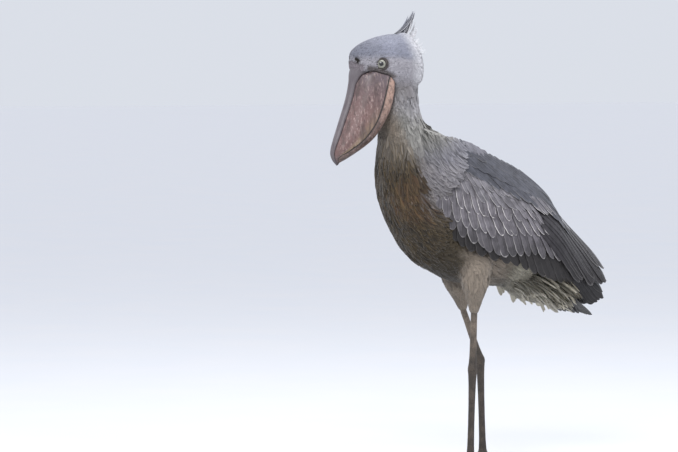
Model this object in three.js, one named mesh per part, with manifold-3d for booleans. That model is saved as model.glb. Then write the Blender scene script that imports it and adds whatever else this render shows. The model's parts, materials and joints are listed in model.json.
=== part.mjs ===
// A shoebill standing still at life size, in millimetres.
// +Z is up, the bird faces -Y and +X is its left. The origin is on the floor under the bird's middle.
import * as THREE from "three";
import { mergeVertices } from "three/addons/utils/BufferGeometryUtils.js";
import Module from "manifold-3d";

const wasm = await Module();
wasm.setup();
const { Manifold, Mesh } = wasm;

// Driving dimensions

// Free space between two nodes that touch, and the smallest thickness of a vane.
const GAP = 0.45;
const VANE_THICK = 1.1;
// How far the finished bird is set back, so that its box is centred.
const SET_BACK = 8;

// The body from tail to throat: where each section meets the back and the belly (y, z), and half its width.
const TRUNK = [
  { back: [206, 540], belly: [184, 462], half: 24 },
  { back: [160, 622], belly: [130, 434], half: 58 },
  { back: [92, 688], belly: [52, 436], half: 80 },
  { back: [22, 736], belly: [-22, 442], half: 91 },
  { back: [-42, 773], belly: [-88, 460], half: 95 },
  { back: [-96, 803], belly: [-158, 502], half: 93 },
  { back: [-124, 816], belly: [-206, 562], half: 88 },
  { back: [-136, 825], belly: [-242, 640], half: 82 },
  { back: [-143, 837], belly: [-255, 715], half: 71 },
  { back: [-151, 858], belly: [-254, 785], half: 59 },
  { back: [-157, 888], belly: [-257, 850], half: 51 },
  { back: [-161, 925], belly: [-256, 905], half: 48 },
  { back: [-166, 985], belly: [-246, 970], half: 42 },
];
// Where along TRUNK, in sections, the torso ends and the neck ends.
const NECK_ROOT = 8.6;
const NECK_TOP = 11.2;

// The head turns about the neck's axis. Head sizes are in its own plane, with y from that axis.
const NECK_AXIS_Y = -204;
const HEAD_TURN_DEG = 5;

// The feathered head from the bill's root to the nape: y, top, bottom and half width.
const HEAD = [
  { y: -143, top: 992, bottom: 974, half: 9 },
  { y: -136, top: 1010, bottom: 952, half: 25 },
  { y: -118, top: 1026, bottom: 936, half: 37 },
  { y: -90, top: 1039, bottom: 922, half: 45 },
  { y: -58, top: 1048, bottom: 908, half: 50 },
  { y: -24, top: 1053, bottom: 898, half: 52 },
  { y: 10, top: 1051, bottom: 898, half: 49 },
  { y: 36, top: 1038, bottom: 905, half: 40 },
  { y: 50, top: 1016, bottom: 922, half: 27 },
  { y: 56, top: 984, bottom: 950, half: 9 },
];

// The eye: its middle, the ball's radius and the lid ring's tube.
const EYE = { x: 37.5, y: -77.7, z: 980, ball: 12.5, lid: 2.4, faces: [0.86, -0.5, 0.06] };

// The bill from root to hook: culmen (y, z), mouth line (y, z), jaw's lower edge (y, z), half width, and half the jaw.
const BILL = [
  { culmen: [-137, 971], mouth: [-57, 951], under: [-35, 930], half: 47, jaw: 37 },
  { culmen: [-142, 956], mouth: [-63, 941], under: [-37, 918], half: 50, jaw: 40 },
  { culmen: [-144, 938], mouth: [-69, 925], under: [-39, 905], half: 53, jaw: 41 },
  { culmen: [-150, 909], mouth: [-77, 899], under: [-44, 880], half: 54, jaw: 40 },
  { culmen: [-159, 880], mouth: [-86, 871], under: [-57, 851], half: 53, jaw: 38 },
  { culmen: [-169, 853], mouth: [-98, 842], under: [-73, 825], half: 51, jaw: 35 },
  { culmen: [-179, 826], mouth: [-114, 817], under: [-91, 802], half: 47, jaw: 31 },
  { culmen: [-189, 799], mouth: [-132, 797], under: [-113, 783], half: 41, jaw: 25 },
  { culmen: [-196, 777], mouth: [-151, 780], under: [-139, 765], half: 32, jaw: 17 },
  { culmen: [-197, 762], mouth: [-168, 767], under: [-157, 753], half: 20, jaw: 9 },
  { culmen: [-191, 748], mouth: [-180, 757], under: [-168, 746], half: 10, jaw: 3 },
  { culmen: [-181, 737], mouth: [-179, 738], under: [-174, 743], half: 2, jaw: 1 },
];
const RIDGE = { half: 8, groove: 12, groove_deep: 8.5, lip: 17, lip_deep: 7 };

// The folded wing from shoulder to tip: top edge (x, y, z), lower edge (x, y, z), and how far its middle stands out.
const WING = [
  { top: [52, -118, 806], low: [84, -126, 566], bulge: 93 },
  { top: [38, -66, 797], low: [103, -84, 532], bulge: 108 },
  { top: [23, 0, 770], low: [110, -18, 505], bulge: 115 },
  { top: [14, 64, 740], low: [106, 62, 487], bulge: 117 },
  { top: [11, 128, 706], low: [95, 130, 464], bulge: 111 },
  { top: [11, 186, 664], low: [80, 192, 446], bulge: 98 },
  { top: [14, 228, 606], low: [64, 246, 432], bulge: 80 },
  { top: [19, 300, 533], low: [50, 294, 404], bulge: 58 },
  { top: [26, 380, 446], low: [38, 344, 372], bulge: 42 },
];

// Rows of wing feathers. Each runs from a root to a tip on the wing: along is 0 at the shoulder and 1 at the tip,
// and down is 0 at the top edge and 1 at the lower edge. Spots are given for the first and the last feather of a row.
// A row lies in its own layer, a distance out from the wing's surface, and dives into the core at its roots.
const WING_ROWS = [
  { name: "primaries", count: 6, steps: 4, layer: -20, rise: 1.3, tilt: 3.6, width: 37,
    root: [[0.56, 0.84], [0.62, 0.46]], tip: [[0.84, 1.0], [1.0, 0.36]] },
  { name: "secondaries", count: 10, steps: 3, layer: -9, rise: 0.1, tilt: 4, width: 47,
    root: [[0.045, 0.52], [0.56, 0.52]], tip: [[0.085, 1.0], [0.78, 0.99]] },
  { name: "greater coverts", count: 8, steps: 3, layer: -4, rise: 0.2, tilt: 3.6, width: 44,
    root: [[0.045, 0.41], [0.48, 0.41]], tip: [[0.075, 0.81], [0.61, 0.8]] },
  { name: "median coverts", count: 7, steps: 3, layer: 0.5, rise: 0.2, tilt: 3.6, width: 45,
    root: [[0.045, 0.27], [0.42, 0.27]], tip: [[0.07, 0.6], [0.53, 0.58]] },
  { name: "tertials", count: 6, steps: 4, layer: 0, rise: 1.5, tilt: 4, width: 48,
    root: [[0.54, 0.4], [0.5, 0.06]], tip: [[0.85, 0.7], [1.0, 0.04]] },
  { name: "scapulars", count: 7, steps: 3, layer: 7, rise: 0.3, tilt: 3.4, width: 48,
    root: [[0.05, 0.13], [0.44, 0.07]], tip: [[0.21, 0.42], [0.72, 0.26]] },
];
const WING_CORE = { end: 0.7, lower: 0.66, deep: 28, edge: 6, under: 12, root: 7 };

// Tail feathers fan out from one root. Angles are from straight back, and drop is below the horizontal.
const TAIL = { root: [0, 182, 482], length: 186, count: 10, spread_deg: 19, drop_deg: 38, width: 33, base: 18,
  sag: 9, shorter: 0.07 };
const VENT = { middle: [0, 140, 432], radii: [42, 74, 26], drop_deg: 26, count: 6, spread_deg: 17, length: 90,
  width: 26, base: 26, sag: 8, shorter: 0.2 };

// The crest's locks rise from the nape, the longest one upright and the rest fanned back.
const CREST = { root: [0, 14, 1047], pad: [19, 25, 9], count: 12, longest: 72, shortest: 42, width: 9 };

// Legs: hip, knee feathers' end, hock and heel of each leg (x, y, z), and the radii along it.
const LEGS = {
  left: { hip: [58, -22, 520], cuff: [58, -27, 372], hock: [58, -31, 236], heel: [55, -35, 18] },
  right: { hip: [-58, -26, 520], cuff: [-58, 10, 372], hock: [-56, 57, 248], heel: [-55, 64, 18] },
};
const LEG = { thigh: 36, cuff: 11, shin: 8.2, hock: 12, shank: 7.4, ankle: 11 };

// Toes of the left foot: heading from straight ahead, length to the claw, and claw length.
const TOES = [
  { name: "inner", heading: 24, length: 118, claw: 19, radius: 8.2 },
  { name: "middle", heading: -6, length: 148, claw: 20, radius: 8.6 },
  { name: "outer", heading: -38, length: 126, claw: 18, radius: 8.2 },
  { name: "hind", heading: 172, length: 66, claw: 18, radius: 8 },
];

// Solids and curves

const point = (x, y, z) => new THREE.Vector3(x, y, z);
const lerp = THREE.MathUtils.lerp;
const radians = THREE.MathUtils.degToRad;

// Numbers from 0 to 1 that are the same on each run.
function seeded(seed) {
  let state = seed;
  return () => {
    state = (state * 1664525 + 1013904223) % 4294967296;
    return state / 4294967296;
  };
}

// A smooth curve through a list of values, read with a number from 0 to 1.
function through(values) {
  const curve = new THREE.CatmullRomCurve3(values.map((v) => point(...v)), false, "catmullrom", 0.5);
  return (t) => curve.getPoint(THREE.MathUtils.clamp(t, 0, 1));
}

// A closed three.js geometry as a solid, with its faces turned outwards.
function solid(geometry) {
  geometry.deleteAttribute("normal");
  geometry.deleteAttribute("uv");
  const merged = mergeVertices(geometry, 1e-3);
  const corners = merged.index.array;
  const build = (first, second) => {
    const kept = [];
    for (let i = 0; i < corners.length; i += 3) {
      const [a, b, c] = [corners[i], corners[i + first], corners[i + second]];
      if (a !== b && b !== c && c !== a) kept.push(a, b, c);
    }
    const vertProperties = merged.attributes.position.array;
    return new Manifold(new Mesh({ numProp: 3, vertProperties, triVerts: new Uint32Array(kept) }));
  };
  const made = build(1, 2);
  return made.volume() < 0 ? build(2, 1) : made;
}

// A cylinder whose points are moved to place(along, angle, radius), with along and radius from 0 to 1.
function warpedTube(sides, steps, place) {
  const geometry = new THREE.CylinderGeometry(1, 1, 1, sides, steps);
  const at = geometry.attributes.position;
  for (let i = 0; i < at.count; i++) {
    const radius = Math.min(1, Math.hypot(at.getX(i), at.getZ(i)));
    const moved = place(at.getY(i) + 0.5, Math.atan2(at.getX(i), at.getZ(i)), radius);
    at.setXYZ(i, moved.x, moved.y, moved.z);
  }
  return solid(geometry);
}

// A thin plate whose two faces are place(across, along, 1) and place(across, along, 0).
// Both faces are split into triangles alike, so they never cross where the plate bends.
function warpedPlate(acrossSteps, alongSteps, place) {
  const sheet = new THREE.PlaneGeometry(1, 1, acrossSteps, alongSteps);
  const flat = sheet.attributes.position;
  const positions = [];
  for (const face of [1, 0]) {
    for (let i = 0; i < flat.count; i++) {
      positions.push(...place(flat.getX(i) * 2, flat.getY(i) + 0.5, face).toArray());
    }
  }
  const faces = Array.from(sheet.index.array);
  const back = flat.count;
  for (let i = 0; i < sheet.index.count; i += 3) {
    faces.push(faces[i] + back, faces[i + 2] + back, faces[i + 1] + back);
  }
  const row = acrossSteps + 1;
  const rim = [];
  for (let i = 0; i < acrossSteps; i++) rim.push(i);
  for (let j = 0; j < alongSteps; j++) rim.push(acrossSteps + j * row);
  for (let i = acrossSteps; i > 0; i--) rim.push(alongSteps * row + i);
  for (let j = alongSteps; j > 0; j--) rim.push(j * row);
  rim.forEach((a, i) => {
    const b = rim[(i + 1) % rim.length];
    faces.push(a, b, b + back, a, b + back, a + back);
  });
  const geometry = new THREE.BufferGeometry();
  geometry.setAttribute("position", new THREE.Float32BufferAttribute(positions, 3));
  geometry.setIndex(faces);
  return solid(geometry);
}

// A solid grown outwards by a gap, to cut its neighbours clear of it.
// Each corner moves until it is at least a gap outside every face that meets there.
function swollen(body, gap = GAP) {
  const mesh = body.getMesh();
  const corner = (i) => point(...mesh.vertProperties.slice(3 * i, 3 * i + 3));
  const facing = Array.from({ length: mesh.numVert }, () => []);
  for (let i = 0; i < mesh.triVerts.length; i += 3) {
    const three = [...mesh.triVerts.slice(i, i + 3)];
    const normal = new THREE.Triangle(...three.map(corner)).getNormal(point(0, 0, 0));
    three.forEach((v) => facing[v].push(normal));
  }
  const moved = facing.flatMap((normals, i) => {
    const shift = point(0, 0, 0);
    for (let round = 0; round < 12; round++) {
      for (const normal of normals) {
        const short = gap - shift.dot(normal);
        if (short > 0) shift.addScaledVector(normal, short);
      }
    }
    return corner(i).add(shift.clampLength(0, gap * 3)).toArray();
  });
  const triVerts = new Uint32Array(mesh.triVerts);
  return new Manifold(new Mesh({ numProp: 3, vertProperties: new Float32Array(moved), triVerts }));
}

const joined = (pieces) => Manifold.union(pieces);
const cutClear = (body, ...others) => others.reduce((left, other) => left.subtract(swollen(other)), body);

// The largest closed surface of a solid, without loose scraps.
function largest(body) {
  return body.decompose().reduce((best, piece) => (piece.volume() > best.volume() ? piece : best));
}

// An ellipsoid, turned about X by a drop below the horizontal.
function ellipsoid(middle, radii, dropDeg = 0, sides = 16) {
  const ball = new THREE.SphereGeometry(1, sides, Math.round(sides * 0.6));
  ball.scale(...radii);
  ball.rotateX(-radians(dropDeg));
  ball.translate(...middle);
  return solid(ball);
}

// A round or oval limb along a path, with its lateral axis given.
function limb(path, wide, deep, across, sides, steps) {
  const centre = through(path);
  const widths = through(wide.map((w, i) => [w, deep[i], 0]));
  return warpedTube(sides, steps, (along, angle, radius) => {
    const ahead = centre(along + 0.01).sub(centre(along - 0.01)).normalize();
    const up = ahead.clone().cross(across).normalize();
    const size = widths(along);
    return centre(along)
      .addScaledVector(across, size.x * radius * Math.sin(angle))
      .addScaledVector(up, size.y * radius * Math.cos(angle));
  });
}

// What is left of a limb above the floor, with a flat sole.
const onFloor = (body) => body.trimByPlane([0, 0, 1], 0);

// A feather: a thin curved vane with a rounded tip. place(along, sideways, height) gives a point of it, and
// its rings stand closer towards the tip. Tilt lifts one edge over the next feather's.
const VANE_OUTLINE = through([[0.45], [0.8], [0.98], [1], [1], [0.94], [0.3]].map(([w]) => [w, 0, 0]));
function vane(place, width, steps, tilt = 0) {
  return warpedPlate(1, steps, (across, ring, face) => {
    const along = 1 - (1 - ring) ** 1.5;
    const sideways = across * (width / 2) * VANE_OUTLINE(along).x;
    const thick = VANE_THICK * (along > 0.95 ? 0.6 : 1);
    return place(along, sideways, face * thick + (across * tilt) / 2);
  });
}

// Body

const trunkBack = through(TRUNK.map((s) => [0, ...s.back]));
const trunkBelly = through(TRUNK.map((s) => [0, ...s.belly]));
const trunkHalf = through(TRUNK.map((s) => [s.half, 0, 0]));

// The whole trunk, a little wider below than above.
function trunk() {
  return warpedTube(20, 24, (along, angle, radius) => {
    const back = trunkBack(along);
    const belly = trunkBelly(along);
    const up = back.clone().sub(belly).multiplyScalar(0.5);
    const half = trunkHalf(along).x * (1 - 0.1 * Math.cos(angle));
    return back.add(belly).multiplyScalar(0.5)
      .addScaledVector(up, Math.cos(angle) * radius)
      .add(point(half * Math.sin(angle) * radius, 0, 0));
  });
}

// The plane of a trunk section, pointing towards the head.
function sectionPlane(section) {
  const along = section / (TRUNK.length - 1);
  const across = trunkBack(along).sub(trunkBelly(along));
  const normal = point(0, across.z, -across.y).normalize();
  if (normal.z < 0) normal.negate();
  return { normal: normal.toArray(), offset: normal.dot(trunkBack(along)) };
}
const beyond = (body, { normal, offset }) => body.trimByPlane(normal, offset + GAP / 2);
const before = (body, { normal, offset }) => body.trimByPlane(normal.map((n) => -n), -offset + GAP / 2);

// Head and bill, modelled in the head's own plane and then turned.
function turnHead(body) {
  return body.translate([0, 0, 0]).rotate([0, 0, HEAD_TURN_DEG]).translate([0, NECK_AXIS_Y, 0]);
}

function skull() {
  const sizes = through(HEAD.map((s) => [s.top, s.bottom, s.half]));
  const places = through(HEAD.map((s) => [s.y, 0, 0]));
  return warpedTube(16, 12, (along, angle, radius) => {
    const { x: top, y: bottom, z: half } = sizes(along);
    const middle = (top + bottom) / 2;
    return point(
      half * Math.sin(angle) * radius,
      places(along).x,
      middle + ((top - bottom) / 2) * Math.cos(angle) * radius,
    );
  });
}

// A loft of the bill: outline(section) lists one side's points from the ridge down, as (x, y, z).
function billLoft(steps, outline) {
  const size = through(BILL.map((s) => [s.half, s.jaw, 0]));
  const lines = Object.fromEntries(
    ["culmen", "mouth", "under"].map((line) => [line, through(BILL.map((s) => [0, ...s[line]]))]),
  );
  const at = (along) => ({
    culmen: lines.culmen(along),
    mouth: lines.mouth(along),
    under: lines.under(along),
    half: size(along).x,
    jaw: size(along).y,
  });
  const sides = (outline(at(0)).length - 1) * 2;
  return warpedTube(sides, steps, (along, angle, radius) => {
    const rim = outline(at(along));
    const turn = Math.round((angle / (2 * Math.PI)) * sides);
    const rimPoint = rim[Math.abs(turn)].clone();
    if (turn < 0) rimPoint.x = -rimPoint.x;
    const middle = rim[0].clone().add(rim[rim.length - 1]).multiplyScalar(0.5);
    return middle.lerp(rimPoint, radius);
  });
}

// The upper bill: a raised ridge with a groove on each side, full flanks, and a hollowed palate.
function upperBill() {
  return billLoft(16, ({ culmen, mouth, half }) => {
    const down = mouth.clone().sub(culmen);
    const deep = down.length();
    down.normalize();
    const shrink = Math.min(1, half / 26);
    const at = (x, below) => culmen.clone().addScaledVector(down, below).add(point(x, 0, 0));
    const groove = RIDGE.groove * shrink;
    return [
      at(0, 0),
      at(RIDGE.half * shrink, 2 * shrink),
      at(groove, RIDGE.groove_deep * shrink),
      at(Math.max(RIDGE.lip * shrink, groove + 0.2), RIDGE.lip_deep * shrink),
      at(Math.max(half * 0.62, groove + 0.4), deep * 0.26),
      at(Math.max(half * 0.88, groove + 0.6), deep * 0.52),
      at(Math.max(half, groove + 0.8), deep * 0.82),
      at(half * 0.95, deep),
      at(half * 0.74, deep * 0.93),
      at(0, deep * 0.8),
    ];
  });
}

// The lower bill: it fills the palate's hollow a gap below the upper bill, and has two branches underneath.
function lowerBill() {
  return billLoft(16, ({ mouth, under, culmen, half, jaw }) => {
    const down = mouth.clone().sub(culmen);
    const deep = down.length();
    down.normalize();
    const below = under.clone().sub(mouth);
    const roof = (x, share) => culmen.clone().addScaledVector(down, deep * share + GAP * 2).add(point(x, 0, 0));
    const at = (x, share) => mouth.clone().addScaledVector(down, GAP * 2).addScaledVector(below, share).add(point(x, 0, 0));
    return [
      roof(0, 0.8),
      roof(half * 0.74, 0.93),
      roof(half * 0.93, 0.995),
      at(half * 0.94, 0.3),
      at(lerp(half, jaw, 0.6), 0.7),
      at(jaw * 0.8, 1),
      at(jaw * 0.4, 0.94),
      at(0, 0.86),
    ];
  });
}

// One nostril: a narrow slit at the top of the groove beside the ridge.
function nostril(side) {
  const slit = new THREE.BoxGeometry(1.6, 5, 13);
  slit.rotateX(radians(-8));
  slit.translate(side * (RIDGE.groove + 0.6), -136, 950);
  return solid(slit);
}

function eyeDirection(side) {
  const [x, y, z] = EYE.faces;
  return point(side * x, y, z).normalize();
}

function eyeball(side) {
  return ellipsoid([side * EYE.x, EYE.y, EYE.z], [EYE.ball, EYE.ball, EYE.ball], 0, 10);
}

// The lids: a ring of skin round the eye with a heavier brow above it.
function lids(side) {
  const ring = new THREE.TorusGeometry(EYE.ball, EYE.lid, 4, 14);
  const face = new THREE.Quaternion().setFromUnitVectors(point(0, 0, 1), eyeDirection(side));
  ring.applyQuaternion(face);
  const out = eyeDirection(side).multiplyScalar(4.5);
  ring.translate(side * EYE.x + out.x, EYE.y + out.y, EYE.z + out.z);
  const brow = ellipsoid([side * 37, EYE.y - 6, EYE.z + 17], [9, 30, 6], -10, 8);
  return [solid(ring), brow];
}

// A crest of narrow locks on a low pad, fanned from upright to flat back.
function crest() {
  const random = seeded(11);
  const pieces = [ellipsoid(CREST.root, CREST.pad, -14, 10)];
  for (let i = 0; i < CREST.count; i++) {
    const share = i / (CREST.count - 1);
    const rise = radians(lerp(64, -12, share));
    const lean = (random() - 0.5) * 0.5 + (i % 2 ? 0.12 : -0.12);
    const length = lerp(CREST.longest, CREST.shortest, share) * (0.85 + 0.3 * random());
    const root = point(lean * 26, lerp(6, 30, share), CREST.root[2] + lerp(3, -4, share));
    const heading = point(lean, Math.cos(rise), Math.sin(rise)).normalize();
    const side = point(0.8, 0, 0).addScaledVector(heading, -0.8 * heading.x).normalize();
    const out = heading.clone().cross(side).negate();
    const lock = (along, sideways, height) => root.clone()
      .addScaledVector(heading, length * along)
      .addScaledVector(side, sideways)
      .addScaledVector(out, height)
      .add(point(0, -0.12 * length * along * (1 - along), 0.14 * length * along * along));
    pieces.push(vane(lock, CREST.width, 3));
  }
  return joined(pieces);
}

// Wings

const wingTop = through(WING.map((s) => s.top));
const wingLow = through(WING.map((s) => s.low));
const wingBulge = through(WING.map((s) => [s.bulge, 0, 0]));

// A point of the left wing's surface, a quadratic curve from the top edge round to the lower edge.
// Past the shoulder and the tip the surface runs straight on.
function wingPoint(along, down) {
  const past = along - THREE.MathUtils.clamp(along, 0, 1);
  const top = wingTop(along);
  const low = wingLow(along);
  const middle = top.clone().add(low).multiplyScalar(0.5);
  middle.x = 2 * wingBulge(along).x - middle.x;
  const up = 1 - down;
  return top.multiplyScalar(up * up)
    .addScaledVector(middle, 2 * up * down)
    .addScaledVector(low, down * down)
    .add(point(0, past * 500, past * (past > 0 ? -450 : -170)));
}

// The wing's surface there: its point, its outward direction and how it runs along and down.
function wingSurface(along, down) {
  const step = 0.02;
  const run = wingPoint(along + step, down).sub(wingPoint(along - step, down)).divideScalar(2 * step);
  const fall = wingPoint(along, down + step).sub(wingPoint(along, down - step)).divideScalar(2 * step);
  return { at: wingPoint(along, down), out: fall.clone().cross(run).normalize(), run, fall };
}

// The arm and hand under the feathers: a tapered plate on the body's side.
function wingCore() {
  return warpedPlate(6, 8, (across, along, face) => {
    const s = WING_CORE.end * along;
    const v = (WING_CORE.lower * (across + 1)) / 2;
    const toEdge = Math.min(1 - across, 1 - Math.abs(2 * along - 1));
    const deep = lerp(WING_CORE.edge, WING_CORE.deep, Math.min(1, toEdge * 3));
    const depth = face ? WING_CORE.under : WING_CORE.under + deep;
    const { at, out } = wingSurface(s, v);
    return at.addScaledVector(out, -depth);
  });
}

// The place of one feather on the wing, from its root in the core to its tip.
// It bends with the wing's surface, and stays in its row's layer past the root.
function wingFeather(root, tip, layer) {
  return (along, sideways, height) => {
    const s = lerp(root[0], tip[0], along);
    const v = lerp(root[1], tip[1], along);
    const { out, run, fall } = wingSurface(s, v);
    const ahead = run.clone().multiplyScalar(tip[0] - root[0]).addScaledVector(fall, tip[1] - root[1]).normalize();
    const side = ahead.cross(out);
    const edge = wingSurface(
      s + (sideways * side.dot(run)) / run.lengthSq(),
      v + (sideways * side.dot(fall)) / fall.lengthSq(),
    );
    const dive = Math.max(0, 1 - along / 0.24);
    const level = lerp(layer, Math.min(layer, -WING_CORE.under - WING_CORE.root), dive);
    return edge.at.addScaledVector(edge.out, level + height);
  };
}

function wingFeathers(random) {
  return WING_ROWS.flatMap((row) =>
    Array.from({ length: row.count }, (_, i) => {
      const share = i / (row.count - 1);
      const wobble = (random() - 0.5) * 0.014;
      const spot = ([from, to]) => [lerp(from[0], to[0], share) + wobble, lerp(from[1], to[1], share)];
      const width = row.width * (0.96 + 0.08 * random());
      return vane(wingFeather(spot(row.root), spot(row.tip), row.layer + i * row.rise), width, row.steps, row.tilt);
    }),
  );
}

function wing(side) {
  const whole = joined([wingCore(), ...wingFeathers(seeded(side > 0 ? 5 : 23))]);
  const made = whole.trimByPlane([1, 0, 0], GAP / 2);
  return side > 0 ? made : made.mirror([1, 0, 0]);
}

// Tail

// The place of a feather in a fan that lies in one slanting plane, dropped below the horizontal.
// Its heading is from straight back, and sag bends it down towards its tip.
function fanFeather(root, length, headingDeg, dropDeg, sag) {
  const heading = radians(headingDeg);
  const drop = radians(dropDeg);
  const back = point(0, Math.cos(drop), -Math.sin(drop));
  const across = point(1, 0, 0);
  const out = point(0, Math.sin(drop), Math.cos(drop));
  const ahead = back.clone().multiplyScalar(Math.cos(heading)).addScaledVector(across, Math.sin(heading));
  const side = across.clone().multiplyScalar(Math.cos(heading)).addScaledVector(back, -Math.sin(heading));
  return (along, sideways, height) => root.clone()
    .addScaledVector(ahead, length * along)
    .addScaledVector(side, sideways)
    .addScaledVector(out, height - sag * along * along);
}

// A fan of feathers, each on its own level: the middle one on top, then by turns to the left and right.
function fan({ root, count, spread_deg, drop_deg, length, width, base, sag, shorter }, random, steps) {
  const drop = radians(drop_deg);
  const out = point(0, Math.sin(drop), Math.cos(drop));
  return Array.from({ length: count }, (_, i) => {
    const place = i - (count - 1) / 2;
    const share = (2 * place) / (count - 1);
    const level = Math.abs(place) * 2 + (place > 0 ? 1 : 0);
    const start = point(...root).add(point(share * base, 0, 0)).addScaledVector(out, -1.5 * level);
    const reach = length * (1 - shorter * Math.abs(share) + 0.04 * random());
    return vane(fanFeather(start, reach, share * spread_deg, drop_deg, sag), width, steps);
  });
}

function tail() {
  const [x, y, z] = TAIL.root;
  const rump = ellipsoid([x, y + 20, z - 20], [32, 48, 19], TAIL.drop_deg, 12);
  return joined([rump, ...fan(TAIL, seeded(3), 4)]);
}

// Loose plumes that hang under the tail, in two rows.
function vent() {
  const random = seeded(8);
  const [x, y, z] = VENT.middle;
  const rows = [{ back: 0, down: 12 }, { back: 30, down: 22 }].flatMap(({ back, down }, i) =>
    fan({ ...VENT, root: [x, y + back, z - down], count: VENT.count - i }, random, 3),
  );
  return joined([ellipsoid(VENT.middle, VENT.radii, VENT.drop_deg, 12), ...rows]);
}

// Legs

function thigh({ hip, cuff }) {
  const knee = point(...hip).lerp(point(...cuff), 0.5).toArray();
  const low = point(...hip).lerp(point(...cuff), 0.8).toArray();
  const wide = [LEG.thigh, LEG.thigh * 0.86, LEG.thigh * 0.5, LEG.cuff];
  const deep = [LEG.thigh * 1.3, LEG.thigh, LEG.thigh * 0.56, LEG.cuff];
  return limb([hip, knee, low, cuff], wide, deep, point(1, 0, 0), 12, 7);
}

// The bare lower leg down to the hock.
function shin({ cuff, hock }) {
  const path = [-0.1, 0.5, 0.84, 1, 1.07].map((t) => point(...cuff).lerp(point(...hock), t).toArray());
  const wide = [LEG.shin * 0.9, LEG.shin, LEG.shin * 1.1, LEG.hock, LEG.hock * 0.7];
  const deep = wide.map((w) => w * 1.04);
  return limb(path, wide, deep, point(1, 0, 0), 8, 7);
}

// The shank from the hock to the foot, with a low hub that the toes grow from.
function shank({ hock, heel }, outward) {
  const path = [0.01, 0.13, 0.5, 0.9, 1].map((t) => point(...hock).lerp(point(...heel), t).toArray());
  const wide = [LEG.hock * 0.94, LEG.shank * 1.2, LEG.shank, LEG.shank * 1.1, LEG.ankle];
  const deep = wide.map((w) => w * 1.12);
  const stem = limb(path, wide, deep, point(1, 0, 0), 8, 7);
  const hub = limb(
    [[heel[0], heel[1] + 17, 7], [heel[0], heel[1], 9], [heel[0] + outward, heel[1] - 17, 7]],
    [8, 15, 10], [8, 14, 9], point(-1, 0, 0), 8, 5,
  );
  return onFloor(joined([stem, hub]));
}

// A toe as a padded limb that lies on the floor, and its claw.
function toe({ heel }, side, { heading, length, claw, radius }) {
  const angle = radians(heading) * side;
  const ahead = point(Math.sin(angle), -Math.cos(angle), 0);
  const across = point(Math.cos(angle), Math.sin(angle), 0).negate();
  const at = (reach, z) => point(heel[0], heel[1], z).addScaledVector(ahead, reach).toArray();
  const joints = [0, 0.2, 0.36, 0.5, 0.66, 0.8, 0.93, 1];
  const pads = [1, 0.84, 1, 0.8, 0.96, 0.76, 0.86, 0.56];
  const path = joints.map((t, i) => at(length * t, radius * pads[i] * 0.7));
  const wide = pads.map((p) => p * radius);
  const body = onFloor(limb(path, wide, wide, across, 7, 9));
  const clawRadius = radius * 0.5;
  const clawPath = [[-4, 0.9], [0.35 * claw, 1.0], [0.72 * claw, 0.8], [claw, 0.3]];
  const nail = onFloor(limb(
    clawPath.map(([reach, share]) => at(length + reach, clawRadius * share)),
    [clawRadius * 0.9, clawRadius * 0.8, clawRadius * 0.5, 0.5],
    [clawRadius * 1.05, clawRadius * 0.95, clawRadius * 0.6, 0.5],
    across, 5, 3,
  ));
  return { body, nail };
}

// Nodes and colours

const finish = (color, roughness, metalness = 0) => new THREE.MeshStandardMaterial({ color, roughness, metalness });
const FINISHES = {
  slate: finish(0x5d5c62, 0.8),
  grey: finish(0x8d8c92, 0.85),
  olive: finish(0x5c5343, 0.9),
  bill: finish(0x8a7270, 0.5),
  eye: finish(0xb9b49a, 0.15),
  skin: finish(0x5a4c48, 0.7),
  claw: finish(0x2a2523, 0.45),
};

const bird = new THREE.Group();

// Adds a solid's largest surface to the bird as one named mesh.
function addNode(name, body, material) {
  const mesh = largest(body).getMesh();
  const geometry = new THREE.BufferGeometry();
  geometry.setAttribute("position", new THREE.BufferAttribute(new Float32Array(mesh.vertProperties), 3));
  geometry.setIndex(new THREE.BufferAttribute(new Uint32Array(mesh.triVerts), 1));
  const made = new THREE.Mesh(geometry, material);
  made.name = name;
  bird.add(made);
  return made;
}

const wholeTrunk = trunk();
const neckRoot = sectionPlane(NECK_ROOT);
const neckTop = sectionPlane(NECK_TOP);
const torso = before(wholeTrunk, neckRoot);
const upper = turnHead(upperBill().subtract(nostril(1)).subtract(nostril(-1)));
const lower = cutClear(turnHead(lowerBill()), upper);
const eyes = { left: turnHead(eyeball(1)), right: turnHead(eyeball(-1)) };
const head = cutClear(
  beyond(joined([turnHead(joined([skull(), ...lids(1), ...lids(-1)])), beyond(wholeTrunk, neckTop)]), neckTop),
  upper, lower, eyes.left, eyes.right,
);
const neck = cutClear(before(beyond(wholeTrunk, neckRoot), neckTop), upper, lower);

addNode("torso", torso, FINISHES.olive);
addNode("neck", neck, FINISHES.grey);
addNode("head", head, FINISHES.grey);
addNode("crest", cutClear(turnHead(crest()), head), FINISHES.grey);
addNode("upper_bill", upper, FINISHES.bill);
addNode("lower_bill", lower, FINISHES.bill);
addNode("eye_left", eyes.left, FINISHES.eye);
addNode("eye_right", eyes.right, FINISHES.eye);

const thighs = {};
for (const [name, leg] of Object.entries(LEGS)) {
  const side = name === "left" ? 1 : -1;
  thighs[name] = cutClear(thigh(leg), torso);
  const shankBody = shank(leg, side * 2);
  addNode(`thigh_${name}`, thighs[name], FINISHES.grey);
  addNode(`shin_${name}`, cutClear(shin(leg), thighs[name]), FINISHES.skin);
  addNode(`shank_${name}`, cutClear(shankBody, shin(leg)), FINISHES.skin);
  const made = [shankBody];
  for (const kind of TOES) {
    const { body, nail } = toe(leg, -side, kind);
    const clear = cutClear(body, ...made);
    made.push(body);
    addNode(`toe_${kind.name}_${name}`, clear, FINISHES.skin);
    addNode(`claw_${kind.name}_${name}`, cutClear(nail, body), FINISHES.claw);
  }
}

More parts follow.
